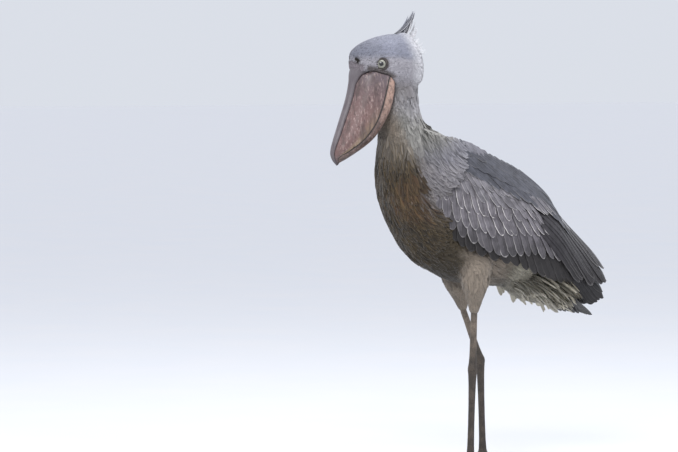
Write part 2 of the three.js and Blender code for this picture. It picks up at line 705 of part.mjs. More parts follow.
const wings = { left: wing(1), right: wing(-1) };
for (const name of ["left", "right"]) {
  wings[name] = largest(cutClear(wings[name], torso, neck, thighs.left, thighs.right));
  addNode(`wing_${name}`, wings[name], FINISHES.slate);
}
const tailBody = largest(cutClear(tail(), torso, wings.left, wings.right));
addNode("tail", tailBody, FINISHES.slate);
addNode("vent_plumes", cutClear(vent(), torso, tailBody, wings.left, wings.right), FINISHES.grey);

// The middle of the whole bird's box is over the origin.
bird.position.y = SET_BACK;

export default bird;
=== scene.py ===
"""A life-size shoebill: skin, feathers, bill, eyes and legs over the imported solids, in metres."""

import functools
import json
import math

import bmesh
import bpy
import numpy as np
from mathutils import Matrix, Vector, noise
from mathutils.bvhtree import BVHTree

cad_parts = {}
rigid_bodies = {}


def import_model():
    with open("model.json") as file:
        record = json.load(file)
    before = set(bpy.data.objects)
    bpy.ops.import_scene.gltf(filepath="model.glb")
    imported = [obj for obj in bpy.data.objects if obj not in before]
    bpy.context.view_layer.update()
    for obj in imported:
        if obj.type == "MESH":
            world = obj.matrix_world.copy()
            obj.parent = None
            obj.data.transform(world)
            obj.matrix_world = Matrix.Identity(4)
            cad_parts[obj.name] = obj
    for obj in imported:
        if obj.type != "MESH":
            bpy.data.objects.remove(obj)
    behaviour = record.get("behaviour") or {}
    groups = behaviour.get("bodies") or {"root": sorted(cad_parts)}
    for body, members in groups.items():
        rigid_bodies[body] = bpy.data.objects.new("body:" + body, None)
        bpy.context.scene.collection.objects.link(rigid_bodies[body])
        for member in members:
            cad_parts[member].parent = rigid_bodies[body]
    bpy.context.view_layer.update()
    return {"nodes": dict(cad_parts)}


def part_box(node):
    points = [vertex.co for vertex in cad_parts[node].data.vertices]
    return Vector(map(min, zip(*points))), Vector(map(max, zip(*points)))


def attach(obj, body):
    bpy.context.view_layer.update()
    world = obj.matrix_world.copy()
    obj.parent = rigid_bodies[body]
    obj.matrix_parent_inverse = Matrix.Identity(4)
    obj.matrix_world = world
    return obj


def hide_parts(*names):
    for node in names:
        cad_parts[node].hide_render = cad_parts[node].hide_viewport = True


bl_info = {
    "name": "Shoebill",
    "version": (1, 0, 0),
    "blender": (4, 5, 0),
    "location": "View3D > Sidebar > Shoebill",
    "description": "Dresses a shoebill's solids with skin, feathers, horn and eyes",
    "category": "Object",
}

# Blender's own start scene holds a cube, a lamp and a camera.
for start_object in list(bpy.data.objects):
    bpy.data.objects.remove(start_object)

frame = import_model()

# Shapes are worked out in millimetres, in the frame's axes: the bird looks along -Y and +X is its left.
MM = 0.001
# How far the finished bird is set back, so that its box is centred.
SET_BACK = 8
# The head turns to the bird's left about the neck's upright axis.
HEAD_TURN = math.radians(5)
NECK_AXIS = np.array([0.0, -204.0 + SET_BACK, 0.0])

# The trunk from the tail's root to the nape: its back (y, z), its belly (y, z) and half its width.
TRUNK = [
    ((206, 540), (184, 462), 24),
    ((160, 622), (130, 434), 58),
    ((92, 688), (52, 436), 80),
    ((22, 736), (-22, 442), 91),
    ((-42, 773), (-88, 460), 95),
    ((-96, 803), (-158, 502), 93),
    ((-124, 816), (-206, 562), 88),
    ((-136, 825), (-242, 640), 82),
    ((-143, 837), (-255, 715), 71),
    ((-151, 858), (-254, 785), 59),
    ((-157, 888), (-257, 850), 51),
    ((-161, 925), (-256, 905), 48),
    ((-166, 985), (-246, 970), 42),
]

# The bill from root to hook: culmen (y, z), mouth line (y, z), jaw's lower edge (y, z), half the bill's
# width and half the jaw's. They are in the head's own plane, with y from the neck's axis.
BILL = [
    ((-137, 971), (-57, 951), (-35, 930), 47, 37),
    ((-142, 956), (-63, 941), (-37, 918), 50, 40),
    ((-144, 938), (-69, 925), (-39, 905), 53, 41),
    ((-150, 909), (-77, 899), (-44, 880), 54, 40),
    ((-159, 880), (-86, 871), (-57, 851), 53, 38),
    ((-169, 853), (-98, 842), (-73, 825), 51, 35),
    ((-179, 826), (-114, 817), (-91, 802), 47, 31),
    ((-189, 799), (-132, 797), (-113, 783), 41, 25),
    ((-196, 777), (-151, 780), (-139, 765), 32, 17),
    ((-197, 762), (-168, 767), (-157, 753), 20, 9),
    ((-191, 748), (-180, 757), (-168, 746), 10, 3),
    ((-181, 737), (-179, 738), (-174, 743), 2, 1),
]
# The slit between the closed halves of the bill.
MOUTH_GAP = 0.9
# Along the bill from root to hook: how far the groove beside the ridge lies from the middle and below the
# culmen, and how deep it is cut.
GROOVE = {
    "along": (0, 0.08, 0.2, 0.6, 1),
    "aside": (30, 21, 13, 11, 4),
    "below": (35, 21, 11, 9, 3),
    "cut": 1.6,
}
# Half the bill's width as a share of its widest, by how far down from the culmen to the mouth.
FLANK = {"down": (0, 0.14, 0.26, 0.52, 0.82, 1), "wide": (0.3, 0.45, 0.62, 0.88, 1, 0.95)}

# The eye in the head's own plane: its middle, the ball's radius, and where it looks.
EYE = {"middle": (37.5, -77.7, 980), "ball": 12.5, "faces": (0.86, -0.5, 0.06)}
# The lid, a wrinkled ring round the eye: wide and thick are half of the ring's own width and thickness, and
# it slopes down outwards from the radius flat.
LID = {
    "radius": 13.6, "height": 4.4, "wide": 2.5, "thick": 2.0,
    "wrinkles": 9, "wrinkle": 0.3, "flat": 13, "slope": 0.7,
}

# The folded wing from shoulder to tip: its top edge (x, y, z), its lower edge (x, y, z), and how far from
# the bird's middle it stands halfway between them.
WING = [
    ((52, -118, 806), (84, -126, 566), 93),
    ((38, -66, 797), (103, -84, 532), 108),
    ((23, 0, 770), (110, -18, 505), 115),
    ((14, 64, 740), (106, 62, 487), 117),
    ((11, 128, 706), (95, 130, 464), 111),
    ((11, 186, 664), (80, 192, 446), 98),
    ((14, 228, 606), (64, 246, 432), 80),
    ((19, 300, 533), (50, 294, 404), 58),
    ((26, 380, 446), (38, 344, 372), 42),
]
# How the surface runs on for one more wing's length: back, and down past the tip or ahead of the shoulder.
WING_PAST = {"back": 500, "tip": -450, "shoulder": -170}
# How fast the surface ahead of the shoulder curves in to the breast.
WING_TUCK = 1500
# The arm and hand under the feathers: their reach along and down the wing, their depth inside and at the
# edges, and how far they and the feathers' roots lie under the surface.
WING_CORE = {"end": 0.7, "lower": 0.66, "deep": 28, "edge": 6, "under": 12, "root": 7}
# The feathers just ahead of a wing end at this y, if they grow farther out than aside and between two
# heights.
WING_FRONT = {"y": -122, "aside": 45, "low": 520, "high": 790}

# Legs: hip, end of the leg feathers and hock, as (x, y, z).
LEGS = {
    "left": ((58, -22, 520), (58, -27, 372), (58, -31, 236)),
    "right": ((-58, -26, 520), (-58, 10, 372), (-56, 57, 248)),
}
TOES = ("inner", "middle", "outer", "hind")
# The radius of the leg inside its feathers.
LEG_RADIUS = 8.2

# The tail: its root and half the root's width, the feathers, the fan's spread and slope in degrees, the
# tips' sag, how much shorter the outermost are, and the flesh at the root.
TAIL = {
    "root": (0, 182, 482), "base": 18, "count": 12, "length": 186, "width": 33, "spread": 19, "drop": 38,
    "sag": 9, "shorter": 0.07, "flesh_at": (0, 20, -20), "flesh": (32, 48, 19),
}
# The loose plumes under the tail: the flesh that they grow from, with its slope in degrees; where their
# roots lie along it, aside and above; and their sizes, with what the upper ones gain.
VENT = {
    "middle": (0, 140, 432), "radii": (42, 74, 26), "drop": 26, "count": 560, "back": (-46, 78), "aside": 36,
    "above": 58, "ragged": 20, "length": (36, 64), "longer": 30, "width": 17, "sag": (2, 20),
}
# The crest in the head's own plane: the flesh that it grows from, with its slope in degrees, and the count
# of its locks and of the loose wisps behind them.
CREST = {"root": (0, 14, 1047), "pad": (19, 25, 9), "lean": 14, "locks": 52, "wisps": 130, "wisp": (12, 26)}
# Where the rings of a crest's lock lie and how wide they are, from root to tip.
LOCK = {"rings": (0, 0.2, 0.4, 0.6, 0.8, 0.93, 1), "outline": (0.7, 0.9, 1, 0.9, 0.62, 0.35, 0.08)}

# The fill of the trough between the folded wings: its middle line (x, y, z) and how far it spreads aside
# and up.
SADDLE = [
    (0, -78, 770, 46, 24),
    (0, -14, 752, 34, 26),
    (0, 56, 722, 25, 22),
    (0, 120, 688, 21, 19),
    (0, 178, 644, 17, 15),
    (0, 222, 596, 13, 11),
]

# The solids of flesh that one skin stands for.
FLESH = ("torso", "neck", "head", "thigh_left", "thigh_right")
# How copies of the solids become one skin: how far each is swollen, how fine the fused mesh is, and its
# rounds of smoothing.
BODY_SKIN = {"swell": 0.7, "voxel": 3.15, "rounds": 24}
LEG_SKIN = {"swell": 0.4, "voxel": 1.3, "rounds": 14}
CLAW_SKIN = {"swell": 0.2, "voxel": 0.6, "rounds": 10}
# How far the skin lies inside the solids, under the coat of the body and of the head.
COAT_DEPTH = {"body": 3.2, "head": 0.8}
# How far the forehead is set back above the bill, to leave a step there.
BROW_STEP = 4.5

# Marks of the head, in its own plane: the middle line of the bare skin from the bill to behind the eye, the
# line along which painted shadow fills the notch at the bill's root, and the height where the horn at the
# bill's root ends.
BARE_STRIP = np.array([(36, -112, 968), (44, -79, 962), (46, -54, 951)], float)
CLEFT_SHADE_LINE = np.array([(17, -138, 991), (23, -136, 987)], float)
CERE_TOP = 989
# The middle of the reddish stain on each side of the breast.
RUST_SPOT = np.array([70, -212, 700])
# How far back the feathers of the mantle have their roots, by height.
MANTLE_END = {"height": (560, 667, 727, 767, 800), "back": (-158, -155, -98, -72, -78)}
# How far the mantle's feathers lie over the wing's surface, how far they are raised between the wings, and
# how much less their roots are raised than the rest.
MANTLE_LAYER = 9.0
SADDLE_LIFT = 9.0
ROOT_DROP = 10.0
# How far out a ray looks for the wing over a spot of the skin.
WING_REACH = 45

# The spacing of the spots on the skin where a feather may grow, how far each is off its place, and their
# seed.
SPOT_SPACING = 2.1
SPOT_JITTER = 0.55
SPOT_SEED = 4

# The parts of the coat: finish, random seed, spacing, where a feather's rings lie and how wide they are,
# the strength of pale edges, and how much roll, sway and tone vary.
COATS = {
    "coat_head": dict(
        slot="grey_feathers", seed=21, spacing=2.9, rings=(0, 0.35, 0.75, 1), outline=(0.6, 1, 0.8, 0.12),
        fringe=0.15, roll=0.12, sway=0.12, tone=0.09,
    ),
    "coat_neck": dict(
        slot="grey_feathers", seed=22, spacing=3.0, rings=(0, 0.35, 0.75, 1), outline=(0.6, 1, 0.8, 0.12),
        fringe=0.4, roll=0.25, sway=0.15, tone=0.13,
    ),
    "coat_breast": dict(
        slot="breast_feathers", seed=23, spacing=5.6, rings=(0, 0.25, 0.5, 0.72, 0.9, 1),
        outline=(0.5, 0.9, 1, 0.8, 0.4, 0.05), fringe=0.6, roll=0.35, sway=0.2, tone=0.32,
    ),
    "coat_body": dict(
        slot="down", seed=24, spacing=4.95, rings=(0, 0.3, 0.65, 0.9, 1), outline=(0.5, 0.95, 1, 0.6, 0.1),
        fringe=0.35, roll=0.25, sway=0.12, tone=0.09,
    ),
    "coat_thighs": dict(
        slot="down", seed=25, spacing=3.2, rings=(0, 0.35, 0.75, 1), outline=(0.6, 1, 0.75, 0.1),
        fringe=0.5, roll=0.25, sway=0.12, tone=0.09,
    ),
    "coat_mantle": dict(
        slot="grey_feathers", seed=26, spacing=4.8, rings=(0, 0.25, 0.5, 0.75, 0.92, 1),
        outline=(0.5, 0.9, 1, 0.95, 0.6, 0.1), fringe=0.75, roll=0.25, sway=0.1, tone=0.16,
    ),
}
# Seeds of the pieces that are laid out by themselves.
SEEDS = {"wing_left": 31, "wing_right": 32, "tail": 41, "vent_plumes": 42, "crest": 43}
# The side of a small feather's or a plume's patch on the map.
PATCH = {"feather": 0.003, "plume": 0.006}

# Across a small feather and across a large vane with its raised shaft: how far aside as a share of half its
# width, and how far up as a share of its thickness.
BODY_PROFILE = np.array([(-1, 0), (0, 1), (1, 0)], float)
VANE_PROFILE = np.array([
    (-1, 0), (-0.72, 0.5), (-0.36, 0.72), (-0.07, 0.85), (0, 1.6), (0.07, 0.85), (0.36, 0.72), (0.72, 0.5),
    (1, 0), (0.55, -0.35), (0, -0.6), (-0.55, -0.35),
], float)
# A large vane's thickness, and how far along it lifts out of the flesh.
VANE_THICK = 0.9
VANE_DIVE = 0.24

# Rows of wing feathers, from root to tip on the wing: along is 0 at the shoulder and 1 at the tip, and down
# is 0 at the top edge and 1 at the lower edge. Spots are given for the first and the last feather of a row.
# A row lies a distance out from the wing's surface, each feather a little higher than the one before.
WING_ROWS = {
    "primaries": dict(
        count=10, layer=-20, rise=0.9, tilt=3.6, width=42, blunt=0.5, colour="primary", pale=0.05, dark=0.4,
        root=((0.56, 0.84), (0.62, 0.46)), tip=((0.84, 1.03), (0.95, 1.05), (1.0, 0.85), (1.0, 0.45)),
    ),
    "secondaries": dict(
        count=17, layer=-10, rise=0.08, tilt=4.2, width=44, blunt=0.9, colour="secondary", pale=0.05,
        dark=0.3, root=((-0.03, 0.52), (0.56, 0.52)), tip=((-0.05, 0.98), (0.4, 1.0), (0.8, 1.0)),
    ),
    "greater coverts": dict(
        count=15, layer=-4, rise=0.1, tilt=3.8, width=38, blunt=0.75, colour="covert", pale=0.4, dark=0.5,
        root=((-0.02, 0.45), (0.5, 0.45)),
        tip=((-0.04, 0.88), (0.2, 0.93), (0.33, 0.92), (0.45, 0.85), (0.64, 0.76)),
    ),
    "median coverts": dict(
        count=15, layer=0.5, rise=0.08, tilt=3.4, width=32, blunt=0.55, colour="covert", pale=1.0, dark=0,
        root=((-0.04, 0.4), (0.46, 0.34)),
        tip=((-0.05, 0.84), (0.15, 0.8), (0.3, 0.77), (0.42, 0.68), (0.57, 0.55)),
    ),
    "lesser coverts low": dict(
        count=15, layer=2.8, rise=0.06, tilt=2.8, width=28, blunt=0.55, colour="covert", pale=0.9, dark=0,
        root=((-0.05, 0.28), (0.44, 0.24)), tip=((-0.06, 0.66), (0.16, 0.66), (0.3, 0.62), (0.52, 0.46)),
    ),
    "lesser coverts middle": dict(
        count=17, layer=4.4, rise=0.05, tilt=2.4, width=26, blunt=0.6, colour="shoulder", pale=0.45, dark=0,
        root=((-0.06, 0.2), (0.4, 0.18)), tip=((-0.05, 0.5), (0.28, 0.5), (0.48, 0.4)),
    ),
    "lesser coverts high": dict(
        count=18, layer=5.8, rise=0.05, tilt=2.0, width=25, blunt=0.6, colour="shoulder", pale=0.3, dark=0,
        root=((-0.07, 0.12), (0.36, 0.12)), tip=((-0.04, 0.38), (0.25, 0.4), (0.46, 0.34)),
    ),
    "tertials": dict(
        count=10, layer=0, rise=1.0, tilt=4, width=54, blunt=0.8, colour="tertial", pale=0.12, dark=0.5,
        root=((0.42, 0.42), (0.38, 0.04)), tip=((0.82, 0.84), (0.93, 0.52), (0.99, 0.02)),
    ),
    "scapulars low": dict(
        count=13, layer=7.6, rise=0.16, tilt=2.6, width=38, blunt=0.8, colour="scapular", pale=0.16, dark=0,
        root=((0.02, 0.15), (0.46, 0.1)), tip=((0.14, 0.29), (0.4, 0.34), (0.76, 0.3)),
    ),
    "scapulars middle": dict(
        count=14, layer=9.2, rise=0.12, tilt=2.2, width=36, blunt=0.8, colour="scapular", pale=0.12, dark=0,
        root=((0.0, 0.1), (0.46, 0.05)), tip=((0.13, 0.22), (0.4, 0.24), (0.72, 0.17)),
    ),
    "scapulars high": dict(
        count=14, layer=10.6, rise=0.1, tilt=1.6, width=34, blunt=0.8, colour="scapular", pale=0.12, dark=0,
        root=((-0.02, 0.04), (0.42, 0.0)), tip=((0.1, 0.13), (0.36, 0.12), (0.68, 0.06)),
    ),
    "pale tuft": dict(
        count=8, layer=8.4, rise=0.3, tilt=2, width=15, blunt=0.4, colour="shoulder", pale=1.3, dark=0,
        root=((0.42, 0.26), (0.5, 0.16)), tip=((0.5, 0.37), (0.56, 0.35), (0.62, 0.27)),
    ),
}

# Sizes of the materials' patterns, in millimetres.
PATTERNS = {
    "vane wear": 11.11,
    "vane mottle": 18.18,
    "skin down": 2.5,
    "bill blotch": 13.33,
    "bill fleck": 3.333,
    "bill speck": 5.882,
    "jaw blotch": 11.11,
    "jaw fleck": 3.846,
    "face wrinkle": 3.333,
    "leg scute": 4.167,
    "leg tint": 22.22,
    "claw wear": 4.545,
    "paper patch": 333.3,
}
# Streaks of the iris, round the eyeball.
IRIS_STREAK = 2.618
# Barbs are about 0.4 mm apart, too fine to show in the render. They are drawn as coarse as this on a
# feather of the length given with them.
BARBS = {"contour": {"feather": 34, "apart": 2.374}, "vane": {"feather": 200, "apart": 1.8617}}
# The blotches of the bill lean with its slope and are drawn out along it.
BILL_LEAN = (-0.35, 0, 0)
BILL_STRETCH = (1, 1, 0.3)
# Round half of the upper bill, from 0 on its ridge to 0.5 in the palate: the groove and the cutting edge.
GROOVE_AT = 0.152
EDGE_AT = 0.392

# The stage, in metres and degrees. A lamp is a place, a side and a power, and all lamps shine on one spot.
CAMERA = {
    "at": (7.63462, -4.42045, 0.9947), "azimuth": 62, "pitch": 2.672,
    "lens": 191.15, "sensor": 36, "far": 200,
}
FLOOR_HALF = 60.0
PAPER = ("#cdd0d3", "#d2d2d2")
BACKDROP = {"near the floor": "#c6cad2", "overhead": "#f2f5ff"}
BACKDROP_STRENGTH = 1.25
LAMPS = {
    "key": ((2.4, -2.2, 3.4), 1.8, 75),
    "top": ((-0.4, 0.6, 4.2), 2.4, 75),
    "fill": ((3.2, 2.0, 1.6), 2.0, 10),
}
LAMP_AIM = (0, 0, 0.55)

# Colours that a user would change, in sRGB.
COLOURS = {
    "crown": ("#7f818d", "Slate blue of the crown"),
    "cheek": ("#98959a", "Grey of the cheek"),
    "nape": ("#d8d7d9", "Pale loose feathers of the nape"),
    "neck": ("#7d7b76", "Grey of the neck"),
    "throat": ("#7b7064", "Brown stain of the front of the neck"),
    "breast": ("#261e15", "Dark middle of the breast plumes"),
    "breast_edge": ("#635439", "Pale edge of the breast plumes"),
    "rust": ("#45301f", "Reddish stain on the side of the breast"),
    "mantle": ("#68676d", "Slate of the upper back"),
    "belly": ("#403728", "Buff grey of the belly"),
    "thigh": ("#82776a", "Mottled buff of the thighs"),
    "vent": ("#a19b8b", "Pale loose plumes under the tail"),
    "scapular": ("#404148", "Smooth slate of the shoulder feathers"),
    "tertial": ("#282528", "Dark slate of the long inner wing feathers"),
    "shoulder": ("#6a676b", "Grey of the small wing coverts"),
    "covert": ("#646064", "Brownish slate of the wing coverts"),
    "secondary": ("#231f1f", "Dark brown slate of the secondaries"),
    "primary": ("#272628", "Blackish primaries"),
    "tail": ("#1f1d1c", "Blackish brown tail"),
    "fringe": ("#d0cbc7", "Worn pale edges of the wing coverts"),
    "bare": ("#4f4743", "Bare skin round the eye and the gape"),
    "bill": ("#6b514d", "Pinkish grey horn of the bill"),
    "bill_base": ("#554b50", "Purple grey horn at the bill's root"),
    "bill_ridge": ("#605a5d", "Lavender grey ridge of the bill"),
    # Real dark blotches of the bill, and painted shade in its grooves.
    "bill_stain_and_groove_shade": ("#3c2f2c", "Dark blotches and grooves of the bill"),
    "bill_fleck": ("#b59f96", "Pale flecks of the bill"),
    "tomium": ("#9a8566", "Yellowish cutting edge of the bill"),
    "jaw": ("#b08f7e", "Flesh colour of the lower bill"),
    "iris": ("#8f8e80", "Pale iris"),
    "leg": ("#6c6053", "Scaly skin of the upper legs"),
    "shank": ("#3d342b", "Darker scaly skin of the hocks, shanks and toes"),
    "claw": ("#2b2624", "Blackish horn of the claws"),
    # Painted shade at the feathers' roots, in the notch at the bill's root and inside the bill; the same dark
    # also colours the feathers' shafts, the darker tips of large feathers, the pupils and the eye's rim.
    "shadow": ("#26221f", "Shaded roots of the feathers and skin folds"),
}


def linear(code):
    """An sRGB hex colour as linear numbers."""
    channels = [int(code[i : i + 2], 16) / 255 for i in (1, 3, 5)]
    return tuple(c / 12.92 if c <= 0.04045 else ((c + 0.055) / 1.055) ** 2.4 for c in channels)


class ShoebillColours(bpy.types.PropertyGroup):
    """Colours of the bird that a user would change."""

    __annotations__ = {
        name: bpy.props.FloatVectorProperty(
            name=name.replace("_", " ").capitalize(),
            description=text,
            subtype="COLOR",
            size=3,
            min=0,
            max=1,
            default=linear(code),
        )
        for name, (code, text) in COLOURS.items()
    }


# Lengths of the small feathers that a user would change, in metres.
LENGTHS = {
    "head_feather": (0.009, "Length of the feathers on the face and crown"),
    "neck_feather": (0.017, "Length of the feathers on the neck"),
    "nape_feather": (0.028, "Length of the loose feathers on the nape"),
    "breast_plume": (0.075, "Length of the hanging plumes on the breast"),
    "belly_feather": (0.034, "Length of the feathers on the belly"),
    "mantle_feather": (0.034, "Length of the feathers on the upper back"),
    "thigh_feather": (0.022, "Length of the feathers on the thighs"),
    "vent_plume": (0.045, "Length of the loose plumes under the tail"),
    "crest_lock": (0.083, "Length of the crest's longest lock"),
}


class ShoebillSizes(bpy.types.PropertyGroup):
    """Sizes of the coat that a user would change."""

    __annotations__ = {
        name: bpy.props.FloatProperty(
            name=name.replace("_", " ").capitalize(),
            description=text,
            default=size,
            min=0.002,
            max=0.2,
            unit="LENGTH",
        )
        for name, (size, text) in LENGTHS.items()
    }


def shade(name):
    """A colour that the user set, as linear numbers."""
    return np.array(getattr(bpy.context.scene.shoebill_colours, name)[:])


def length(name):
    """A length that the user set, in millimetres."""
    return getattr(bpy.context.scene.shoebill_sizes, name) / MM


# Curves and numbers


def through(values):
    """A smooth curve through a list of values, read with numbers from 0 to 1."""
    rows = np.array(values, float)
    rows = np.concatenate([[2 * rows[0] - rows[1]], rows, [2 * rows[-1] - rows[-2]]])
    spans = len(rows) - 3

    def at(t):
        place = np.clip(np.asarray(t, float), 0, 1) * spans
        first = np.minimum(place.astype(int), spans - 1)
        u = (place - first).reshape(place.shape + (1,) * (rows.ndim - 1))
        a, b, c, d = (rows[first + k] for k in range(4))
        bend = (2 * a - 5 * b + 4 * c - d) * u**2 + (3 * b - a - 3 * c + d) * u**3
        return 0.5 * (2 * b + (c - a) * u + bend)

    return at


def ramp(low, high, x):
    """0 below low, 1 above high, and a smooth rise between them."""
    t = np.clip((x - low) / (high - low), 0, 1)
    return t * t * (3 - 2 * t)


def mix(a, b, share):
    return a + (b - a) * share


def unit(v):
    return v / np.maximum(np.linalg.norm(v, axis=-1, keepdims=True), 1e-9)


def dot(a, b):
    return np.sum(a * b, axis=-1, keepdims=True)


def nudge(x):
    """Steps to the bird's left, as vectors."""
    return np.stack([x, 0 * x, 0 * x], axis=1)


def placed(spot):
    """A place (x, y, z) of the bird, set back with all of it."""
    return np.array(spot, float) + [0, SET_BACK, 0]


def grain(points, size, seed=0):
    """Smooth random numbers from -1 to 1 that change over a size in millimetres, at a list of points."""
    shift = Vector((seed * 7.3, seed * 3.1, seed * 5.7))
    return np.array([noise.noise(Vector(p) / size + shift) for p in points])


def head_turn():
    """The turn of the head about the neck's axis, as a matrix."""
    c, s = math.cos(HEAD_TURN), math.sin(HEAD_TURN)
    return np.array([[c, -s, 0], [s, c, 0], [0, 0, 1]])


def head_place(points):
    """Points of the head's own plane, in the frame."""
    return np.asarray(points, float) @ head_turn().T + NECK_AXIS


def head_plane(points):
    """Points of the frame, in the head's own plane."""
    return (np.asarray(points, float) - NECK_AXIS) @ head_turn()


# Meshes


def new_object(name, data):
    """An object of the scene that holds a mesh, a lamp or a camera."""
    made = bpy.data.objects.new(name, data)
    bpy.context.scene.collection.objects.link(made)
    return made


def finish_piece(made, finish, slot, *nodes):
    """Gives a finished piece its material and its body, and hides the solids that it stands for. The slot is
    not used.
    """
    made.data.materials.clear()
    made.data.materials.append(material(finish))
    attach(made, "root")
    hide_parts(*nodes)
    return made


def tube(bm, sides, steps, place, closed_ring=False):
    """Adds a grid bent into a closed tube. place(along, around) gives its points, with both from 0 to 1."""
    grid = bmesh.ops.create_grid(bm, x_segments=sides, y_segments=steps, size=0.5)["verts"]
    plane = np.array([v.co[:2] for v in grid]) + 0.5
    points = place(plane[:, 1], plane[:, 0]) * MM
    uv = bm.loops.layers.uv.get("Grid") or bm.loops.layers.uv.new("Grid")
    spot = {v: p for v, p in zip(grid, plane)}
    faces = {f for v in grid for f in v.link_faces}
    for face in faces:
        face.smooth = True
        for loop in face.loops:
            loop[uv].uv = spot[loop.vert]
    for v, p in zip(grid, points):
        v.co = p
    bmesh.ops.remove_doubles(bm, verts=grid, dist=1e-6)
    if not closed_ring:
        rims = [e for e in bm.edges if e.is_boundary]
        bmesh.ops.holes_fill(bm, edges=rims, sides=0)


def mesh_of(name, *builders):
    """A mesh object that each builder adds to, with its faces turned outwards."""
    bm = bmesh.new()
    for build in builders:
        build(bm)
    bmesh.ops.recalc_face_normals(bm, faces=bm.faces)
    mesh = bpy.data.meshes.new(name)
    bm.to_mesh(mesh)
    bm.free()
    return new_object(name, mesh)


def ellipsoid(bm, middle, radii, drop):
    """Adds a ball drawn out to three radii, which slopes down backwards by drop degrees."""
    ball = bmesh.ops.create_icosphere(bm, subdivisions=4, radius=1)["verts"]
    place = Matrix.Translation(Vector(middle) * MM) @ Matrix.Rotation(-math.radians(drop), 4, "X")
    bmesh.ops.transform(bm, matrix=place @ Matrix.Diagonal((*(Vector(radii) * MM), 1)), verts=ball)


def add_copy(bm, node, swell):
    """A merged copy of a CAD node, swollen a little so that it fuses with its neighbours."""
    part = bmesh.new()
    part.from_mesh(frame["nodes"][node].data)
    bmesh.ops.remove_doubles(part, verts=part.verts, dist=1e-6)
    part.normal_update()
    for v in part.verts:
        v.co += v.normal * swell * MM
    mesh = bpy.data.meshes.new("copy")
    part.to_mesh(mesh)
    part.free()
    bm.from_mesh(mesh)
    bpy.data.meshes.remove(mesh)


def apply_modifiers(made):
    """Gives an object the mesh that its modifiers make, and takes them off."""
    ready = made.evaluated_get(bpy.context.evaluated_depsgraph_get())
    mesh = bpy.data.meshes.new_from_object(ready)
    made.modifiers.clear()
    old = made.data
    made.data = mesh
    bpy.data.meshes.remove(old)


def fuse(made, kind):
    """Fuses what the object holds into one smooth closed surface of a kind of skin."""
    remesh = made.modifiers.new("Fuse", "REMESH")
    remesh.mode = "VOXEL"
    remesh.voxel_size = kind["voxel"] * MM
    remesh.use_smooth_shade = True
    soften = made.modifiers.new("Soften", "SMOOTH")
    soften.factor = 0.5
    soften.iterations = kind["rounds"]
    apply_modifiers(made)


def rest_on_floor(made):
    """Presses what reaches below the floor flat onto it."""
    for vertex in made.data.vertices:
        vertex.co.z = max(vertex.co.z, 0)


# The wing's surface

wing_top = through([s[0] for s in WING])
wing_low = through([s[1] for s in WING])
wing_bulge = through([[s[2]] for s in WING])


def wing_point(along, down):
    """A point of the left wing's surface. Past the shoulder and the tip the surface runs straight on."""
    along, down = np.broadcast_arrays(np.asarray(along, float), np.asarray(down, float))
    past = (along - np.clip(along, 0, 1))[..., None]
    top, low = wing_top(along), wing_low(along)
    middle = (top + low) / 2
    middle[..., 0] = 2 * wing_bulge(along)[..., 0] - middle[..., 0]
    v = down[..., None]
    on = top * (1 - v) ** 2 + middle * 2 * (1 - v) * v + low * v**2
    slope = np.where(past > 0, WING_PAST["tip"], WING_PAST["shoulder"])
    tuck = WING_TUCK * np.minimum(past, 0) ** 2
    on = on + past * [0, WING_PAST["back"], 0] + past * slope * [0, 0, 1]
    return on - tuck * [1, 0, 0] + [0, SET_BACK, 0]


def wing_surface(along, down):
    """The wing's surface there: its point, its outward direction, and how it runs along and down."""
    step = 0.02
    run = (wing_point(along + step, down) - wing_point(along - step, down)) / (2 * step)
    fall = (wing_point(along, down + step) - wing_point(along, down - step)) / (2 * step)
    return wing_point(along, down), unit(np.cross(fall, run)), run, fall


def wing_core(side):
    """The arm and hand under the feathers: a tapered plate on the body's side."""

    def place(along, around):
        across = np.cos(2 * np.pi * around)
        face = np.sin(2 * np.pi * around)
        down = WING_CORE["lower"] * (across + 1) / 2
        at, out, _, _ = wing_surface(WING_CORE["end"] * along, down)
        to_edge = np.minimum(1 - np.abs(across), 1 - np.abs(2 * along - 1))
        deep = mix(WING_CORE["edge"], WING_CORE["deep"], np.minimum(1, to_edge * 3))
        depth = WING_CORE["under"] + deep * (1 - face) / 2
        on = at - out * depth[:, None]
        return on * [side, 1, 1]

    return lambda bm: tube(bm, 32, 30, place)


# Skin


def coat_depth(points):
    """How far the skin lies inside the solids, in millimetres: thin on the head, thicker on the body."""
    head = ramp(880, 930, points[:, 2])
    return mix(COAT_DEPTH["body"], COAT_DEPTH["head"], head)


def saddle(bm):
    """The fill of the trough between the folded wings, an oval tube that leans with the back."""
    line = through(SADDLE)

    def place(along, around):
        middle, angle = line(along), 2 * np.pi * around
        aside, high = middle[:, 3] * np.cos(angle), middle[:, 4] * np.sin(angle)
        return middle[:, :3] + np.stack([aside, 0.4 * high, 0.9 * high], axis=1) + [0, SET_BACK, 0]

    tube(bm, 24, 40, place)


def mesh_points(mesh):
    """A mesh's points in millimetres."""
    points = np.zeros(len(mesh.vertices) * 3)
    mesh.vertices.foreach_get("co", points)
    return points.reshape(-1, 3) / MM


def fill_skin(bm):
    """Adds all the flesh that the skin covers."""
    for node in FLESH:
        add_copy(bm, node, BODY_SKIN["swell"])
    for side in (1, -1):
        wing_core(side)(bm)
    ellipsoid(bm, placed(TAIL["root"]) + TAIL["flesh_at"], TAIL["flesh"], TAIL["drop"])
    ellipsoid(bm, placed(VENT["middle"]), VENT["radii"], VENT["drop"])
    ellipsoid(bm, head_place(CREST["root"]), CREST["pad"], CREST["lean"])
    saddle(bm)


